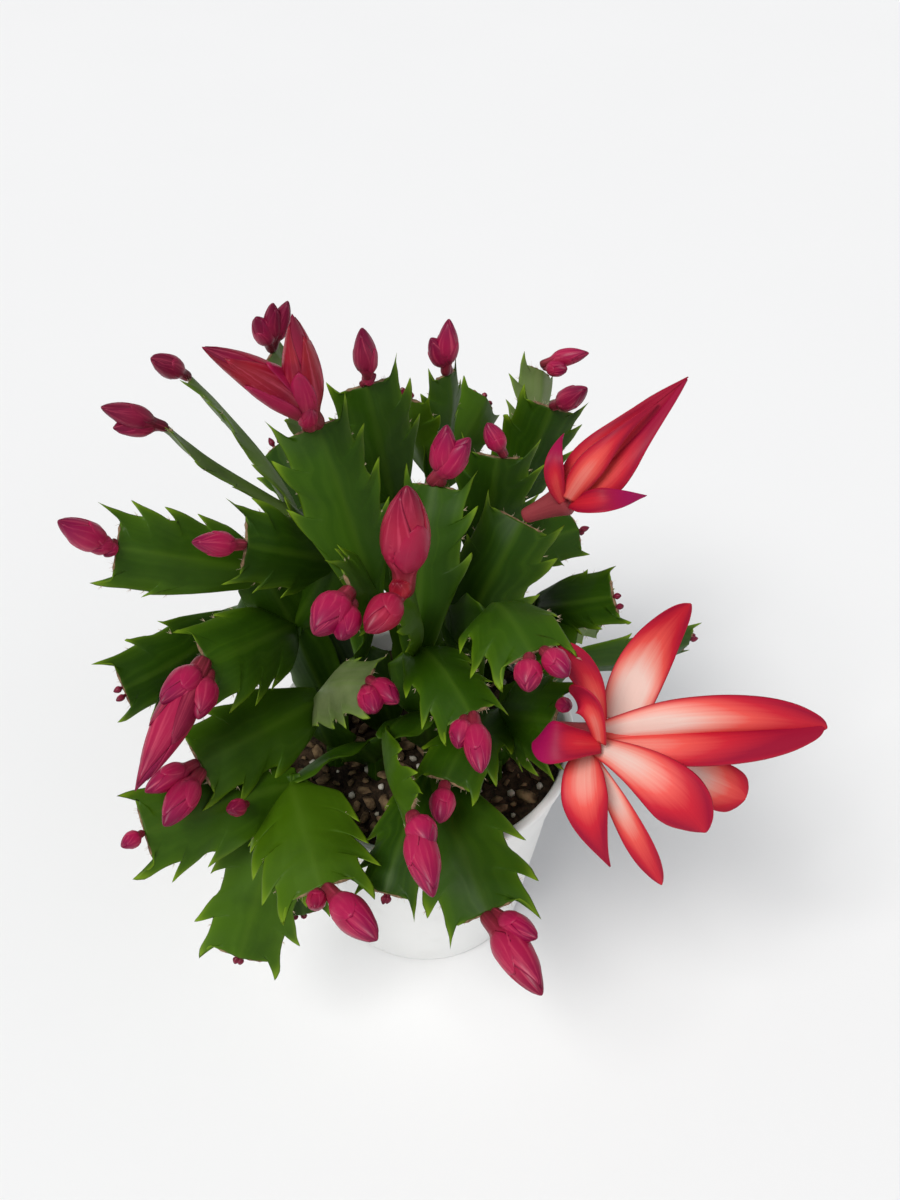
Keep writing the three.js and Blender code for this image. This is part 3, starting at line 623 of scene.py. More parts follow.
# A pad is (the pad that it grows from, the view point of its tip, real length, width, roll, arch), and where
# it matters its tone and the kinds of its right and left side, looking from its neck to its end. One that
# grows from None stands on the fork, and a length below 0 leads away from the viewer. The tone is 0 for the
# darkest, 0.8 for the young yellow-green ones and 1 for grey-green.
STEMS = {
    "back_left": {
        "a": (None, (296, 514), 40, 20, 50, 2),
        "a_upper": ("a", (190, 379), 54, 17, 87, 2, 0.9),
        "a_lower": ("a", (167, 428), 54, 17, 85, -2, 0.92),
    },
    "tall_left": {
        "c0": (None, (370, 592), 37, 16, 75, 2),
        "c": ("c0", (316, 427), 52, 29, 14, 3, 0.38, (0, 1)),
        "gg": ("c0", (352, 596), 28, 27, 0, 2, 0.5, (1, 3)),
        "d0": (None, (338, 548), -45, 13, 60, 2),
        "d": ("d0", (281, 444), -42, 27, -10, 2, 0.08, (3, 1)),
        "b": ("d0", (318, 452), -38, 22, 30, 2, 0.2),
        "b_top": ("b", (273, 352), 42, 22, 60, 2, 0.97),
    },
    "top": {
        "e0": (None, (392, 500), 36, 24, 20, 2),
        "e": ("e0", (366, 386), 44, 27, 5, 2, 0.3, (1, 3)),
        "g0": (None, (436, 482), -40, 20, -20, 2),
        "g": ("g0", (447, 375), 40, 22, 58, 2, 0.4),
        "f": ("g0", (408, 398), 40, 22, -50, 2, 0.75),
        "h": ("g0", (484, 399), -40, 24, 20, 2, 0.6),
    },
    "middle": {
        "k0": (None, (416, 650), 22, 20, 0, 2),
        "k": ("k0", (435, 486), 51, 27, -14, 3, 0.3, (1, 3)),
        "s": ("k0", (469, 714), 42, 26, -22, 5, 0.35, (1, 3)),
        "u1": ("k0", (404, 594), 44, 18, 70, 2, 0.7),
        "u2_0": (None, (386, 738), 20, 16, 60, 2),
        "u2": ("u2_0", (411, 812), 36, 20, 72, 2, 0.6),
    },
    "right_top": {
        "l": (None, (521, 522), 46, 33, 0, 3, 0.1, (1, 4)),
        "i0": (None, (482, 560), -30, 22, 0, 2),
        "i": ("i0", (498, 457), 42, 30, 0, 2, 0.15),
        "m": ("i0", (577, 530), -36, 24, 0, 2, 0.35, (3, 3)),
        "p0": (None, (489, 614), 34, 20, 0, 2),
        "p": ("p0", (532, 653), 36, 31, -28, 7, 0.4, (1, 4)),
    },
    "back_right": {
        "kk0": (None, (508, 500), -38, 20, 0, 2),
        "kk": ("kk0", (551, 408), 42, 29, 14, 2, 0.1),
        "jj": ("kk0", (541, 371), -48, 24, 50, 2, 0.97),
    },
    "right": {
        "n0": (None, (536, 608), -34, 22, 0, 2),
        "n": ("n0", (613, 597), 42, 25, 0, 2, 0.15, (3, 4)),
        "o": ("n0", (606, 616), -42, 26, 20, 2, 0.95),
        "hh": (None, (688, 643), -52, 24, 55, 2, 0.2),
    },
    "front_right": {
        "q": (None, (554, 722), 38, 32, 0, 2, 0.3, (0, 3)),
        "r": (None, (446, 781), 42, 27, 24, 6, 0.3, (3, 1)),
    },
    "front": {
        "w": (None, (488, 912), 48, 34, 0, 3, 0.38, (1, 1)),
        "v": (None, (386, 893), 41, 24, 20, 2, 0.1),
    },
    "front_left": {
        "x0": (None, (291, 784), 32, 14, 84, 2),
        "x": ("x0", (322, 887), 42, 36, 0, 3, 0.68, (0, 0)),
        "y": ("x0", (240, 957), -56, 33, 0, 3, 0.6, (1, 2)),
        "z": ("x0", (145, 832), 48, 33, 0, 3, 0.45, (3, 2)),
        "aa": ("x0", (303, 914), -44, 22, 0, 2, 0.3),
    },
    "left_upper": {
        "bb0": (None, (262, 570), 30, 22, 0, 2),
        "bb": ("bb0", (117, 548), 46, 29, 0, 3, 0.42, (0, 4)),
        "cc0": (None, (332, 560), 30, 22, 0, 2),
        "cc": ("cc0", (246, 545), 40, 29, 0, 3, 0.15, (1, 3)),
        "dd": (None, (208, 664), 46, 31, 0, 5, 0.32, (4, 0)),
        "ee0": (None, (232, 622), -28, 22, 0, 2),
        "ee": ("ee0", (124, 688), 46, 27, -20, 3, 0.15, (3, 1)),
    },
    "left_lower": {
        "ff": (None, (201, 765), 52, 31, 0, 4, 0.45, (3, 1)),
        "t": (None, (366, 684), 38, 26, -42, 4, 1, (2, 4)),
    },
}

# The chains behind the pot: (turn round it in degrees, distance from its axis, height) of each tip.
CHAINS_BEHIND = {
    "top": [[(98, 58, 142), (100, 94, 118), (100, 108, 80)], [(88, 54, 138), (80, 94, 116)]],
    "back_right": [[(68, 56, 114), (67, 94, 90)]],
    "back_left": [[(132, 64, 130), (133, 100, 108)], [(148, 66, 116), (154, 100, 90)]],
}
CHAIN_WIDE = 28
CHAIN_ARCH = 3


def polar(turn, out, height):
    angle = radians(turn)
    return Vector((out * cos(angle), out * sin(angle), height))


def grow_stem(name, stem, seed):
    """The pads of one cutting: its old inner ones, its named ones and its chains behind."""
    hole, fork = (Vector(place) for place in ROOTS[name])
    foot = hole.to_3d() + Vector((0, 0, SOIL_Z + STALK_ABOVE))
    count = max(1, int((fork - foot).length / INNER_LONG + 0.5))
    inner = []
    for i in range(count):
        base = foot.lerp(fork, i / count)
        tip = foot.lerp(fork, (i + 1) / count)
        face = facing(base, tip, 50 * draw(seed + i))
        inner.append(Pad(base, tip, face, INNER_WIDE, 1, seed + i, clawed=False, tone=0.1))
    named = {}
    for i, (key, (grown_from, to, long, wide, roll, arch, *look)) in enumerate(stem.items()):
        base = named[grown_from].tip if grown_from else fork
        tip = reach(base, to, long)
        clawed = not key.endswith("0")
        face = facing(base, tip, roll)
        named[key] = Pad(base, tip, face, wide, arch, seed + 3 * i, clawed, *look)
    for branch, chain in enumerate(CHAINS_BEHIND.get(name, [])):
        base = fork
        for i, place in enumerate(chain):
            tip = polar(*place)
            along = (tip - base).normalized()
            face = (Vector((0, 0, 1)) - along * along.z).normalized()
            face = Matrix.Rotation(0.35 * draw(seed + 7 * branch + i), 3, along) @ face
            key = f"{name}_{branch}_{i}"
            tone = 0.3 + 0.2 * draw(seed + i + 3 * branch)
            named[key] = Pad(base, tip, face, CHAIN_WIDE, CHAIN_ARCH, seed + branch + i, tone=tone)
            base = tip
    return inner, named


# ---- Buds ----

# A bunch is (its pad, its tone, its buds), and the tone is dark wine at 0, pink near 0.4 and red at 1. A bud
# is (the view point of its tip, real length, radius, slide across the pad's end, gap from it).
BUNCHES = {
    "bud_a_upper": ("a_upper", 0.12, [((151, 358), 17, 3.7)]),
    "buds_a_lower": ("a_lower", 0.2, [((101, 407), 22, 3.7, 0.5), ((113, 428), 17, 3.2, -0.5)]),
    "buds_b": ("b_top", 0.15, [((256, 317), 15, 3.9), ((273, 303), 19, 3.2), ((288, 301), 19, 3.3)]),
    "buds_c_long": (
        "c", 0.55, [((202, 347), 50, 5.4, -1), ((292, 314), 44, 5.4, 1.5), ((310, 407), 13, 2.8, 3)],
    ),
    "buds_e": ("e", 0.2, [((362, 328), 21, 3.6, -1), ((376, 374), 6, 1.9, 1.5, 0.8)]),
    "buds_g": ("g", 0.25, [((431, 338), 15, 3.7, -1), ((449, 319), 19, 3.7, 1)]),
    "buds_jj": ("jj", 0.45, [((589, 353), 18, 3.2, 1, 2), ((567, 369), 12, 3, -1, 2)]),
    "bud_kk": ("kk", 0.2, [((587, 388), 18, 3.8)]),
    "bud_i": ("i", 0.3, [((487, 423), 13, 3.4, -2)]),
    "buds_k": ("k", 0.4, [((447, 425), 20, 4.2, -1.5), ((470, 438), 20, 4.4, 1.5)]),
    "buds_bb": ("bb", 0.4, [((58, 521), 22, 4.2), ((86, 545), 12, 3, -1), ((105, 556), 7, 2.1, -2, 0.9)]),
    "bud_cc": ("cc", 0.4, [((192, 542), 18, 3.6)]),
    "buds_u1": ("u1", 0.66, [((407, 486), 34, 6.9), ((397, 583), 8, 3.2), ((366, 632), 18, 4.9, 0, 3)]),
    "buds_gg": ("gg", 0.4, [((314, 634), 20, 5.3, -1.5, 0.8), ((341, 639), 17, 4, 1.5, 0.8)]),
    "buds_dd": (
        "dd", 0.45, [((161, 703), 21, 4.6, -1), ((198, 719), 18, 4.2, 2), ((135, 791), 44, 5.7, -1.5)],
    ),
    "buds_ff": ("ff", 0.4, [((145, 792), 18, 3.8, -1), ((164, 826), 22, 4.6, 1.5)]),
    "bud_ff_edge": ("ff", 0.3, [((228, 810), 11, 2.6, 16.6, -8)]),
    "buds_x": ("x", 0.5, [((377, 940), 27, 5.1, 1), ((315, 908), 9, 2.9, -1.5)]),
    "buds_w": ("w", 0.5, [((542, 995), 31, 5.5, -1), ((537, 938), 20, 4, 1.5)]),
    "buds_u2": ("u2", 0.4, [((431, 847), 14, 4.4), ((433, 897), 27, 4.8)]),
    "bud_r": ("r", 0.4, [((440, 823), 14, 3.9)]),
    "buds_t": ("t", 0.4, [((375, 712), 15, 3.9, -1.5), ((398, 703), 16, 3.7, 1.5)]),
    "buds_s": ("s", 0.4, [((458, 748), 12, 3.4, -1.5), ((481, 773), 21, 4, 1)]),
    "buds_p": ("p", 0.4, [((527, 691), 13, 4, -1), ((568, 676), 14, 3.7, 3)]),
    "bud_q": ("q", 0.4, [((570, 706), 8, 2.3, 5, 0.6)]),
    "bud_z": ("z", 0.4, [((122, 847), 9, 2.5)]),
}

BUD_STAND = 0.7
OPENING_LONG = 40
UNDER_TEPALS = 0.94
AROUND_TEPAL = 12
TEPAL_ROWS = 10
BUD_BODY = [
    (0, 0.38), (0.04, 0.47), (0.12, 0.5), (0.2, 0.53), (0.25, 0.63), (0.31, 0.8), (0.39, 0.95), (0.48, 1),
    (0.6, 0.96), (0.72, 0.82), (0.83, 0.61), (0.92, 0.38), (0.98, 0.17), (1, 0.04),
]
LONG_BODY = [
    (0, 0.42), (0.03, 0.52), (0.09, 0.6), (0.16, 0.68), (0.24, 0.82), (0.33, 0.95), (0.42, 1), (0.54, 0.93),
    (0.66, 0.76), (0.79, 0.53), (0.91, 0.26), (1, 0.02),
]
# The tepals round a bud: (share where it starts, share of its tip, turns round, half its spread in turns).
BUD_TEPALS = [
    (0.23, 0.66, 0, 0.19), (0.24, 0.72, 0.52, 0.19), (0.32, 0.96, 0.27, 0.23), (0.34, 0.98, 0.78, 0.22),
]
LONG_TEPALS = [
    (0.12, 0.6, 0.05, 0.14), (0.1, 0.68, 0.42, 0.14), (0.12, 0.64, 0.74, 0.14), (0.2, 0.84, 0.22, 0.2),
    (0.22, 0.9, 0.58, 0.2), (0.2, 0.97, 0.9, 0.22), (0.26, 0.99, 0.4, 0.22),
]


def add_spindle(mesh, base, tip, radius, body, tone, bend=0, around=18, face=None):
    """A turned body from a base to a pointed tip. Gives the function that finds a point on it."""
    axis = tip - base
    side = (face or UP).cross(axis).normalized()
    front = axis.cross(side).normalized()
    rows = spline(body, 2)

    def on(turn, share, lift=0):
        angle = 2 * pi * turn
        wide = at_share(rows, share) * radius + lift
        middle = base + axis * share + front * (bend * sin(pi * share))
        return middle + side * (wide * cos(angle)) + front * (wide * sin(angle))

    def place(turn, row):
        if row in (0, len(rows) + 1):
            share = rows[0][0] if row == 0 else rows[-1][0]
            return base + axis * share, share, 0, 0, tone
        share = rows[row - 1][0]
        return on(turn, share), share, sin(2 * pi * turn), 0, tone

    wrap(mesh, around, len(rows) + 1, place)
    return on


def add_tepal(mesh, on, start, end, turn, spread, tone, lift, flare):
    """A pointed tepal that lies on a turned body, with its tip lifted by flare."""

    def place(round_it, row):
        lean, rise = across_skin(round_it)
        t = row / TEPAL_ROWS
        share = start + (end - start) * t
        width = spread * (1 - t**2.6) ** 0.7 * (0.5 + 0.5 * step(0, 0.35, t))
        high = lift * (0.35 + 0.65 * step(0, 0.3, t)) * (1 - 0.55 * abs(lean) ** 3) + flare * t**3
        height = high if rise > 1e-6 else -0.25
        if abs(rise) < 1e-6:
            height = 0.3 * lift + flare * t**3
        if row in (0, TEPAL_ROWS):
            height = high * 0.5 + flare * t**3 if row else -0.2
        edge = 0.9 * abs(lean) ** 4 + 0.5 * step(0.8, 1, t)
        return on(turn + lean * width, share, height), share, lean, edge, tone

    wrap(mesh, AROUND_TEPAL, TEPAL_ROWS, place)


def add_bud(mesh, base, tip, radius, tone, seed):
    """A bud; a long one has more tepals, the short ones of them darker and lifted at the tip."""
    long = (tip - base).length
    opening = long > OPENING_LONG
    bend = (0.045 if opening else 0.03) * long * draw(seed)
    body = LONG_BODY if opening else BUD_BODY
    on = add_spindle(mesh, base, tip, radius * UNDER_TEPALS, body, tone, bend, around=24)
    for i, (start, end, turn, spread) in enumerate(LONG_TEPALS if opening else BUD_TEPALS):
        flare = 0
        shade = tone + 0.05 * draw(seed + i)
        if opening:
            flare = 0.3 if end < 0.7 else 0
            shade += 0.1 if end > 0.7 else -0.25
        end = min(end + 0.03 * draw(seed + 5 * i), 0.995)
        lift = 0.03 * radius + 0.16
        add_tepal(mesh, on, start, end, turn + seed * 0.37, spread, shade, lift, flare)


def seat_on(pad, slide=0, stand=BUD_STAND):
    """Where a bud stands on its pad: just clear of the end, slid across it."""
    along = (pad.tip - pad.base).normalized()
    across = pad.face.cross(along).normalized()
    return pad.tip + along * stand + across * slide


# ---- Flowers ----

# Petal outlines: (share of the length, share of the half width).
FAN_PETAL = [
    (0, 0.8), (0.12, 0.92), (0.28, 1), (0.46, 0.99), (0.64, 0.88), (0.8, 0.66), (0.91, 0.44), (0.97, 0.24),
    (1, 0.05),
]
ROUND_TIP = [(0.72, 1), (0.84, 0.86), (0.93, 0.56), (0.98, 0.26), (1, 0.05)]
BROAD_PETAL = [(0, 0.45), (0.14, 0.58), (0.3, 0.74), (0.46, 0.9), (0.6, 0.99), *ROUND_TIP]
STRAP_PETAL = [(0, 0.34), (0.14, 0.44), (0.3, 0.64), (0.46, 0.84), (0.6, 0.97), *ROUND_TIP]
LANCE_PETAL = [
    (0, 0.4), (0.1, 0.66), (0.2, 0.86), (0.42, 1), (0.6, 0.84), (0.75, 0.58), (0.9, 0.24), (1, 0.03),
]
CLOSED_PETAL = [
    (0, 0.4), (0.14, 0.6), (0.32, 0.84), (0.5, 0.97), (0.63, 1), (0.76, 0.94), (0.87, 0.76), (0.95, 0.48),
    (0.985, 0.26), (1, 0.05),
]
SHEATH_PETAL = [
    (0, 0.62), (0.1, 0.82), (0.22, 0.97), (0.33, 1), (0.46, 0.86), (0.6, 0.6), (0.76, 0.36), (0.9, 0.18),
    (1, 0.03),
]
TUBE_BODY = [(0, 0.4), (0.06, 0.52), (0.3, 0.62), (0.6, 0.82), (0.84, 1.05), (0.94, 1.02), (1, 0.6)]
HEART_BODY = [
    (0, 0.4), (0.08, 0.62), (0.24, 0.86), (0.42, 1), (0.6, 0.9), (0.78, 0.62), (0.92, 0.26), (1, 0.02),
]
AROUND_PETAL = 20
TUBE_TONE = 1.4
HEART_TONE = 0.6

# A petal is (three view places that it runs through, width, roll, outline, channel, tone): its edges rise
# towards the viewer where channel is above 0, and tone turns it from peach towards crimson.
OPEN_FLOWER = {
    "on": "q",
    "seat": (-1.5, 1.8),
    "throat": (600, 738, 74),
    "tube": 4.2,
    "heart": (818, 727, 76),
    "heart_radius": 6.2,
    "petals": [
        ([(622, 722, 70), (646, 662, 66), (690, 604, 78)], 15, 0, FAN_PETAL, 0.14, -0.03),
        ([(600, 734, 74), (588, 682, 84), (553, 644, 84)], 9, 25, BROAD_PETAL, 0.2, 0.5),
        ([(600, 742, 82), (590, 708, 90), (571, 693, 84)], 9, -40, BROAD_PETAL, 0.2, 0.5),
        ([(600, 744, 81), (562, 742, 88), (534, 742, 82)], 12, 10, BROAD_PETAL, -0.1, 0.9),
        ([(588, 750, 76), (586, 806, 84), (610, 866, 78)], 13, 0, LANCE_PETAL, -0.1, 0.35),
        ([(592, 756, 72), (622, 812, 76), (662, 884, 66)], 8, 10, STRAP_PETAL, 0.15, -0.05),
        ([(586, 742, 73), (654, 778, 91), (705, 832, 92)], 16, 0, STRAP_PETAL, -0.12, 0.12),
        ([(616, 745, 66), (700, 778, 66), (745, 798, 62)], 14, 0, BROAD_PETAL, 0.15, -0.15),
        # This upper petal of the closed bundle has a lower tone than the two below it: partly its own coral
        # colour, partly a painted highlight where light falls on the bundle's top.
        ([(594, 734, 74), (706, 720, 83), (827, 727, 77)], 13, 22, CLOSED_PETAL, -0.42, 0.02),
        ([(594, 742, 75), (696, 744, 83), (824, 729, 78)], 12, -26, CLOSED_PETAL, -0.42, 0.45),
        ([(598, 738, 72), (704, 731, 68), (824, 725, 76)], 14, 180, CLOSED_PETAL, -0.42, 0.4),
    ],
}
HALF_OPEN_FLOWER = {
    "on": "l",
    "seat": (0, 2),
    "throat": (568, 498, 50),
    "tube": 4.7,
    "heart": (686, 378, 60),
    "heart_radius": 6,
    "petals": [
        ([(562, 502, 54), (554, 466, 62), (564, 434, 58)], 6, 0, LANCE_PETAL, 0.1, 0.8),
        ([(571, 504, 54), (606, 500, 64), (646, 496, 56)], 8, -20, LANCE_PETAL, 0.1, 0.95),
        ([(564, 495, 50), (606, 439, 60), (688, 377, 60)], 9, 14, SHEATH_PETAL, -0.4, 0.6),
        ([(576, 501, 52), (628, 454, 61), (687, 379, 60)], 11, -26, SHEATH_PETAL, -0.4, 0.7),
        ([(568, 499, 56), (605, 450, 65), (658, 402, 63)], 8.5, 6, SHEATH_PETAL, -0.3, 0.5),
        ([(571, 496, 47), (618, 442, 49), (687, 378, 59)], 11.5, 180, SHEATH_PETAL, -0.4, 0.66),
    ],
}


def add_petal(mesh, through, wide, roll, outline, channel, tone, seed):
    base, middle, tip = (seen(place) for place in through)
    control = middle * 2 - base * 0.5 - tip * 0.5
    curve = Curve(base, control, tip, facing(base, tip, roll))
    rows = spline(outline, 4)
    half = wide / 2
    twist = 0.25 * draw(seed)

    def place(turn, row):
        lean, rise = across_skin(turn)
        share, width = rows[clamp(row - 1, 0, len(rows) - 1)]
        closed = row in (0, len(rows) + 1) or abs(rise) < 1e-6
        thick = 0 if closed else copysign(0.26 + 0.22 * (1 - abs(lean)), rise)
        spot, _, across, out = curve.frame(share, twist * (share - 0.3))
        away = lean * width * half
        curl = channel * half * (away / half) ** 2
        ripple = 0.35 * lean * lean * step(0.1, 0.4, share)
        ripple *= sin(share * 9 + seed * 2.1 + 2.2 * (lean > 0))
        groove = 0.25 * exp(-((lean / 0.2) ** 2))
        point = spot + across * away + out * (thick + curl + ripple - groove)
        return point, share, lean, abs(lean) ** 5, tone

    wrap(mesh, AROUND_PETAL, len(rows) + 1, place)


def flower_mesh(flower, seed):
    mesh = new_mesh()
    base = seat_on(PADS[flower["on"]], *flower["seat"])
    middle = seen(flower["throat"])
    add_spindle(mesh, base, base.lerp(middle, 1.04), flower["tube"], TUBE_BODY, TUBE_TONE)
    neck = base.lerp(middle, 0.85)
    add_spindle(mesh, neck, seen(flower["heart"]), flower["heart_radius"], HEART_BODY, HEART_TONE, around=24)
    for i, petal in enumerate(flower["petals"]):
        add_petal(mesh, *petal, seed + i)
    return mesh


# ---- Felt, bristles and young buds on the cut-off ends ----


END_BRISTLES = 12
NOTCH_BRISTLES = 4
FELT_ROWS = 10
# The part of a pad's cut-off end that is felted.
FELT_WIDE = 0.85


def add_bristle(mesh, spot, direction, long, thick):
    turn = direction.to_track_quat("Z", "Y").to_matrix().to_4x4()
    place = Matrix.Translation(spot + direction * long / 2) @ turn
    shape = {"cap_ends": True, "segments": 3, "radius1": thick, "radius2": thick * 0.2, "depth": long}
    for vert in bmesh.ops.create_cone(mesh, matrix=place, **shape)["verts"]:
        vert[mesh.verts.layers.float["along"]] = 1


def notches(rows):
    """The rows of a pad's side that lie in the notches between its claws."""
    for row in range(2, len(rows) - 1):
        if rows[row - 1][1] > rows[row][1] < rows[row + 1][1] and rows[row][0] < 0.85:
            yield row


def add_felt(mesh, pad):
    """The felted strip along the cut-off end of a pad, its bristles, and a tuft in each notch."""
    last = len(pad.sides[0]) - 1
    seed = pad.seed

    def place(turn, row):
        spot, along, out = pad.spot((row / FELT_ROWS - 0.5) * 2 * FELT_WIDE, last)
        fat = 0 if row in (0, FELT_ROWS) else 0.75 + 0.2 * sin(row * 2.3 + seed)
        high, wide, _ = polar(360 * turn, fat, 0)
        return spot + out * (0.8 * high) + along * (0.45 * wide), 0, 0, 0, 0

    wrap(mesh, 8, FELT_ROWS, place)
    for i in range(END_BRISTLES):
        spot, along, out = pad.spot(FELT_WIDE * draw(seed + 3 * i), last)
        lean = along + out * 0.8 * draw(seed + i) + pad.face.cross(along) * 0.7 * draw(seed + 2 * i)
        add_bristle(mesh, spot, lean.normalized(), 1.4 + 0.7 * draw(seed + 7 * i), 0.07)
    for hand, rows in zip((-1, 1), pad.sides):
        for row in notches(rows):
            spot, along, out = pad.spot(hand, row)
            side = pad.face.cross(along).normalized() * hand
            for k in range(NOTCH_BRISTLES):
                lean = side + along * (0.6 + 0.5 * draw(seed + k)) + out * 0.7 * draw(seed + 3 * k + row)
                add_bristle(mesh, spot - side * 0.2, lean.normalized(), 1.3 + 0.6 * draw(seed + 5 * k), 0.08)


def add_young_buds(mesh, pad):
    """Two buds that have only just begun, on the cut-off end of a pad."""
    for i in range(2):
        spot, along, out = pad.spot(0.5 * draw(pad.seed + 4 * i), len(pad.sides[0]) - 1)
        lean = (along + out * 0.4 * draw(pad.seed + i)).normalized()
        add_spindle(mesh, spot, spot + lean * (3.4 + draw(pad.seed + i)), 1.1, BUD_BODY, 0.05, around=8)


# ---- Pot and soil ----

POT_HEIGHT = 90
INNER_RIM = 49.3
COLLAR_Z = 70
NECK_RADIUS = 46.9
BASE_RADIUS = 37.5
FLOOR = 1.6
WALL = 1.3
DRAIN_COUNT = 5
DRAIN_RING = 25
AROUND_POT = 96
SOIL_GAP = 0.4
SOIL_RINGS = 26
CHIP_COUNT = 260
CHIP_REACH = 44
GOLDEN_TURN = 2.39996

POT_PROFILE = [
    (33.5, 0.9), (34.2, 0.15), (35.3, 0), (36.6, 0.35), (37.3, 1.1), (37.6, 2.2), (40.4, 24), (43.7, 46),
    (46.6, 68), (46.95, 69.2), (47.4, 69.8), (47.75, 70.1), (47.95, 70.8), (48.9, 78), (50.3, 86.4),
    (50.7, 86.95), (51.6, 87.2), (52.2, 87.45), (52.5, 88), (52.5, 89), (52.2, 89.7), (51.6, 90),
    (50.2, 90), (49.6, 89.7), (49.3, 89.1), (49.1, 88), (48.2, 82), (46.1, 70.3), (45.5, 69.5),
    (45.2, 66), (42.3, 44), (39, 22), (36.3, 2.6), (35.4, 1.7),
]
DRAIN_PROFILE = [(4.25, 0.9), (4, 1.1), (4, 1.5), (4.25, 1.7)]


def add_turned(mesh, profile, around, middle=(0, 0)):
    """Turns a profile of [radius, height] round an upright axis."""

    def place(turn, row):
        radius, z = profile[row]
        spot = Vector((*middle, 0)) + polar(360 * turn, radius, z)
        return spot, z / POT_HEIGHT, 0, 0, 0.5

    wrap(mesh, around, len(profile) - 1, place)


def pot_mesh():
    """The turned wall, with a floor that is filled in round a ring of drain holes, below and above."""
    mesh = new_mesh()
    add_turned(mesh, POT_PROFILE, AROUND_POT)
    for i in range(DRAIN_COUNT):
        x, y, _ = polar(360 * i / DRAIN_COUNT, DRAIN_RING, 0)
        add_turned(mesh, DRAIN_PROFILE, 24, (x, y))
    for _, level in (POT_PROFILE[0], POT_PROFILE[-1]):
        rings = [e for e in mesh.edges if e.is_boundary and all(abs(v.co.z - level) < 0.01 for v in e.verts)]
        bmesh.ops.triangle_fill(mesh, edges=rings, use_beauty=True, normal=(0, 0, 1))
    bmesh.ops.recalc_face_normals(mesh, faces=mesh.faces)
    return mesh


def inner_radius(z):
    """The pot's inner radius at a height: one slope up to the collar and one inside it."""
    lower = BASE_RADIUS - WALL
    collar = NECK_RADIUS - WALL
    if z <= COLLAR_Z:
        return lower + (collar - lower) * (z - FLOOR) / (COLLAR_Z - FLOOR)
    return collar + (INNER_RIM - collar) * (z - COLLAR_Z) / (POT_HEIGHT - COLLAR_Z)


def soil_mesh():
    """The soil plug: its crumbly top in rings, then its side and bottom."""
    top = inner_radius(SOIL_Z) - SOIL_GAP
    profile = [(top * i / SOIL_RINGS, SOIL_Z) for i in range(SOIL_RINGS + 1)]
    profile += [(inner_radius(z) - SOIL_GAP, z) for z in (COLLAR_Z, 30)]
    profile += [(35.6, 2), (0, 2)]
    mesh = new_mesh()
    add_turned(mesh, profile, 72)
    for vert in mesh.verts:
        x, y, z = vert.co
        if z < SOIL_Z - 1:
            continue
        near = 1 - step(0.9, 1, hypot(x, y) / top)
        bump = sin(x * 0.31 + 1) * cos(y * 0.27) + 0.6 * sin(x * 0.8 - y * 0.7)
        crumb = noise.noise(Vector((x, y, 3)) * 0.35) * 1.3 + noise.noise(Vector((x, y, 9)) * 0.9) * 0.8
        vert.co.z = z + near * (1.1 * bump + crumb)
    return mesh


def chips_mesh():
    """Bark chips and pale grit strewn over the soil in a sunflower's spiral, every fourth one grit."""
    mesh = new_mesh()
    tone = mesh.verts.layers.float["tone"]
    for i in range(CHIP_COUNT):
        turn = i * GOLDEN_TURN
        out = CHIP_REACH * sqrt((i + 0.5) / CHIP_COUNT)
        grit = i % 4 == 3
        size = 1.2 + 0.5 * draw(i + 11) if grit else 3.1 + 1.9 * draw(i + 11)
        wide, thick = (0.9, 0.8) if grit else (0.55, 0.32)
        spot = (out * cos(turn), out * sin(turn), SOIL_Z + 0.9 + 0.8 * draw(i + 5))
        place = Matrix.Translation(spot)
        for angle, axis in ((3 * draw(i + 80), "Z"), (0.6 * draw(i), "X"), (0.5 * draw(i + 40), "Y")):
            place = place @ Matrix.Rotation(angle, 4, axis)
        place = place @ Matrix.Diagonal((size, size * wide, size * thick, 1))
        made = bmesh.ops.create_icosphere(mesh, subdivisions=1, radius=1, matrix=place)["verts"]
        for k, vert in enumerate(made):
            vert.co += Vector((draw(i + k), draw(i + 2 * k), draw(i + 3 * k))) * 0.16 * size
            vert[tone] = 1 if grit else 0
    return mesh


# ---- The plant, piece by piece ----

STEM_PARTS = {name: grow_stem(name, stem, 11 * i) for i, (name, stem) in enumerate(STEMS.items())}
PADS = {key: pad for _, named in STEM_PARTS.values() for key, pad in named.items()}
WITH_BUDS = {on for on, *_ in BUNCHES.values()} | {OPEN_FLOWER["on"], HALF_OPEN_FLOWER["on"]}
CARRYING = {grown_from for stem in STEMS.values() for grown_from, *_ in stem.values()}

finish_piece(pot_mesh(), "nursery_pot", pot_finish(), "pot")
finish_piece(soil_mesh(), "potting_soil", soil_finish(), "soil")
finish_piece(chips_mesh(), "bark_chips", chip_finish())

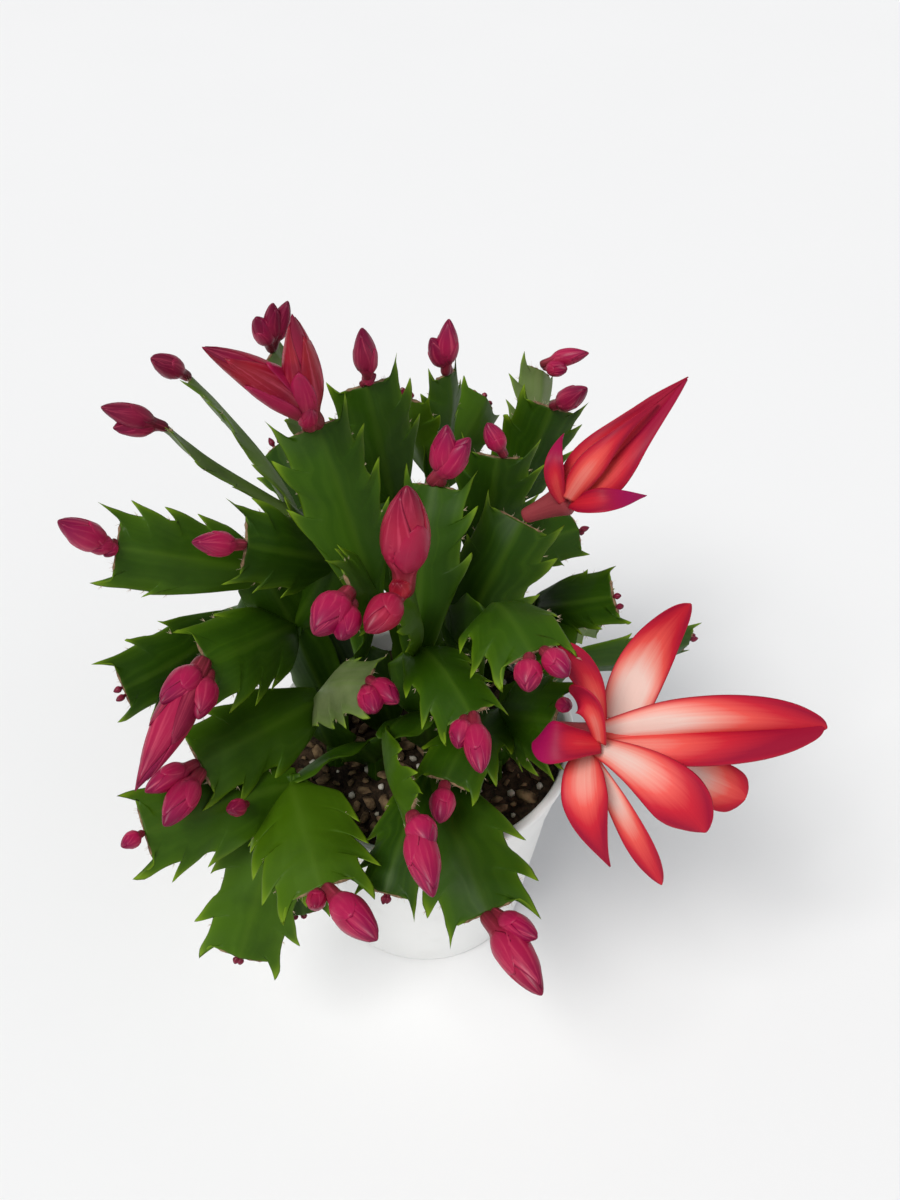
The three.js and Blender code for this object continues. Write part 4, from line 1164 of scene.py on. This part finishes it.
felt = new_mesh()
young = new_mesh()
for name, (inner, named) in STEM_PARTS.items():
    leafy = new_mesh()
    hole, _ = ROOTS[name]
    foot = Vector((*hole, SOIL_Z - STALK_SUNK))
    head = Vector((*hole, SOIL_Z - STALK_SUNK + STALK_LONG))
    add_spindle(leafy, foot, head, STALK_RADIUS, STALK_BODY, 0.1, around=14, face=RIGHT)
    for pad in (*inner, *named.values()):
        pad.build(leafy)
    for key, pad in named.items():
        if not pad.clawed or key in CARRYING:
            continue
        add_felt(felt, pad)
        if key not in WITH_BUDS:
            add_young_buds(young, pad)
    finish_piece(leafy, f"stem_{name}_pads", PAD_FINISH, f"stem_{name}")
finish_piece(felt, "felt_and_bristles", FUZZ_FINISH)
finish_piece(young, "young_buds", BUD_FINISH)

for number, (name, (on, tone, buds)) in enumerate(BUNCHES.items()):
    bunch = new_mesh()
    for i, (to, long, radius, *seat) in enumerate(buds):
        base = seat_on(PADS[on], *seat)
        add_bud(bunch, base, reach(base, to, long), radius, tone + 0.06 * draw(number + i), number * 3 + i)
    finish_piece(bunch, f"{name}_fine", BUD_FINISH, name)

opened = flower_mesh(OPEN_FLOWER, 1)
finish_piece(opened, "open_flower_petals", PETAL_FINISH, "flower_open")
opening = flower_mesh(HALF_OPEN_FLOWER, 40)
finish_piece(opening, "half_open_flower_petals", PETAL_FINISH, "flower_half_open")

# ---- Floor, light and camera ----

FLOOR_SIZE = 6
SENSOR = 36
PICTURE_LONG = 1200

bpy.ops.mesh.primitive_plane_add(size=FLOOR_SIZE)
floor = bpy.context.object
floor.name = "pale_floor"
floor.data.materials.append(floor_finish())

scene = bpy.context.scene
world = scene.world or bpy.data.worlds.new("studio")
scene.world = world
world.use_nodes = True
sky = world.node_tree.nodes["Background"]
sky.inputs["Color"].default_value = (0.92, 0.95, 1, 1)
sky.inputs["Strength"].default_value = 0.4


def add_sun(name, aim, softness, strength, colour):
    """An even soft light that shines along a direction."""
    data = bpy.data.lights.new(name, "SUN")
    data.angle = radians(softness)
    data.energy = strength
    data.color = colour
    lamp = bpy.data.objects.new(name, data)
    lamp.rotation_euler = Vector(aim).to_track_quat("-Z", "Y").to_euler()
    scene.collection.objects.link(lamp)


add_sun("key_light", (0.42, 0.5, -1), 28, 2.4, (1, 0.985, 0.96))
add_sun("fill_light", (-0.8, 0.75, -0.7), 60, 0.35, (0.96, 0.98, 1))

camera_data = bpy.data.cameras.new("view")
camera_data.lens = SENSOR * FOCAL / PICTURE_LONG
camera_data.sensor_width = SENSOR
camera = bpy.data.objects.new("view", camera_data)
camera.location = EYE * MM
camera.rotation_euler = (pi / 2 - PITCH, 0, 0)
scene.collection.objects.link(camera)
scene.camera = camera
scene.view_settings.view_transform = "Standard"
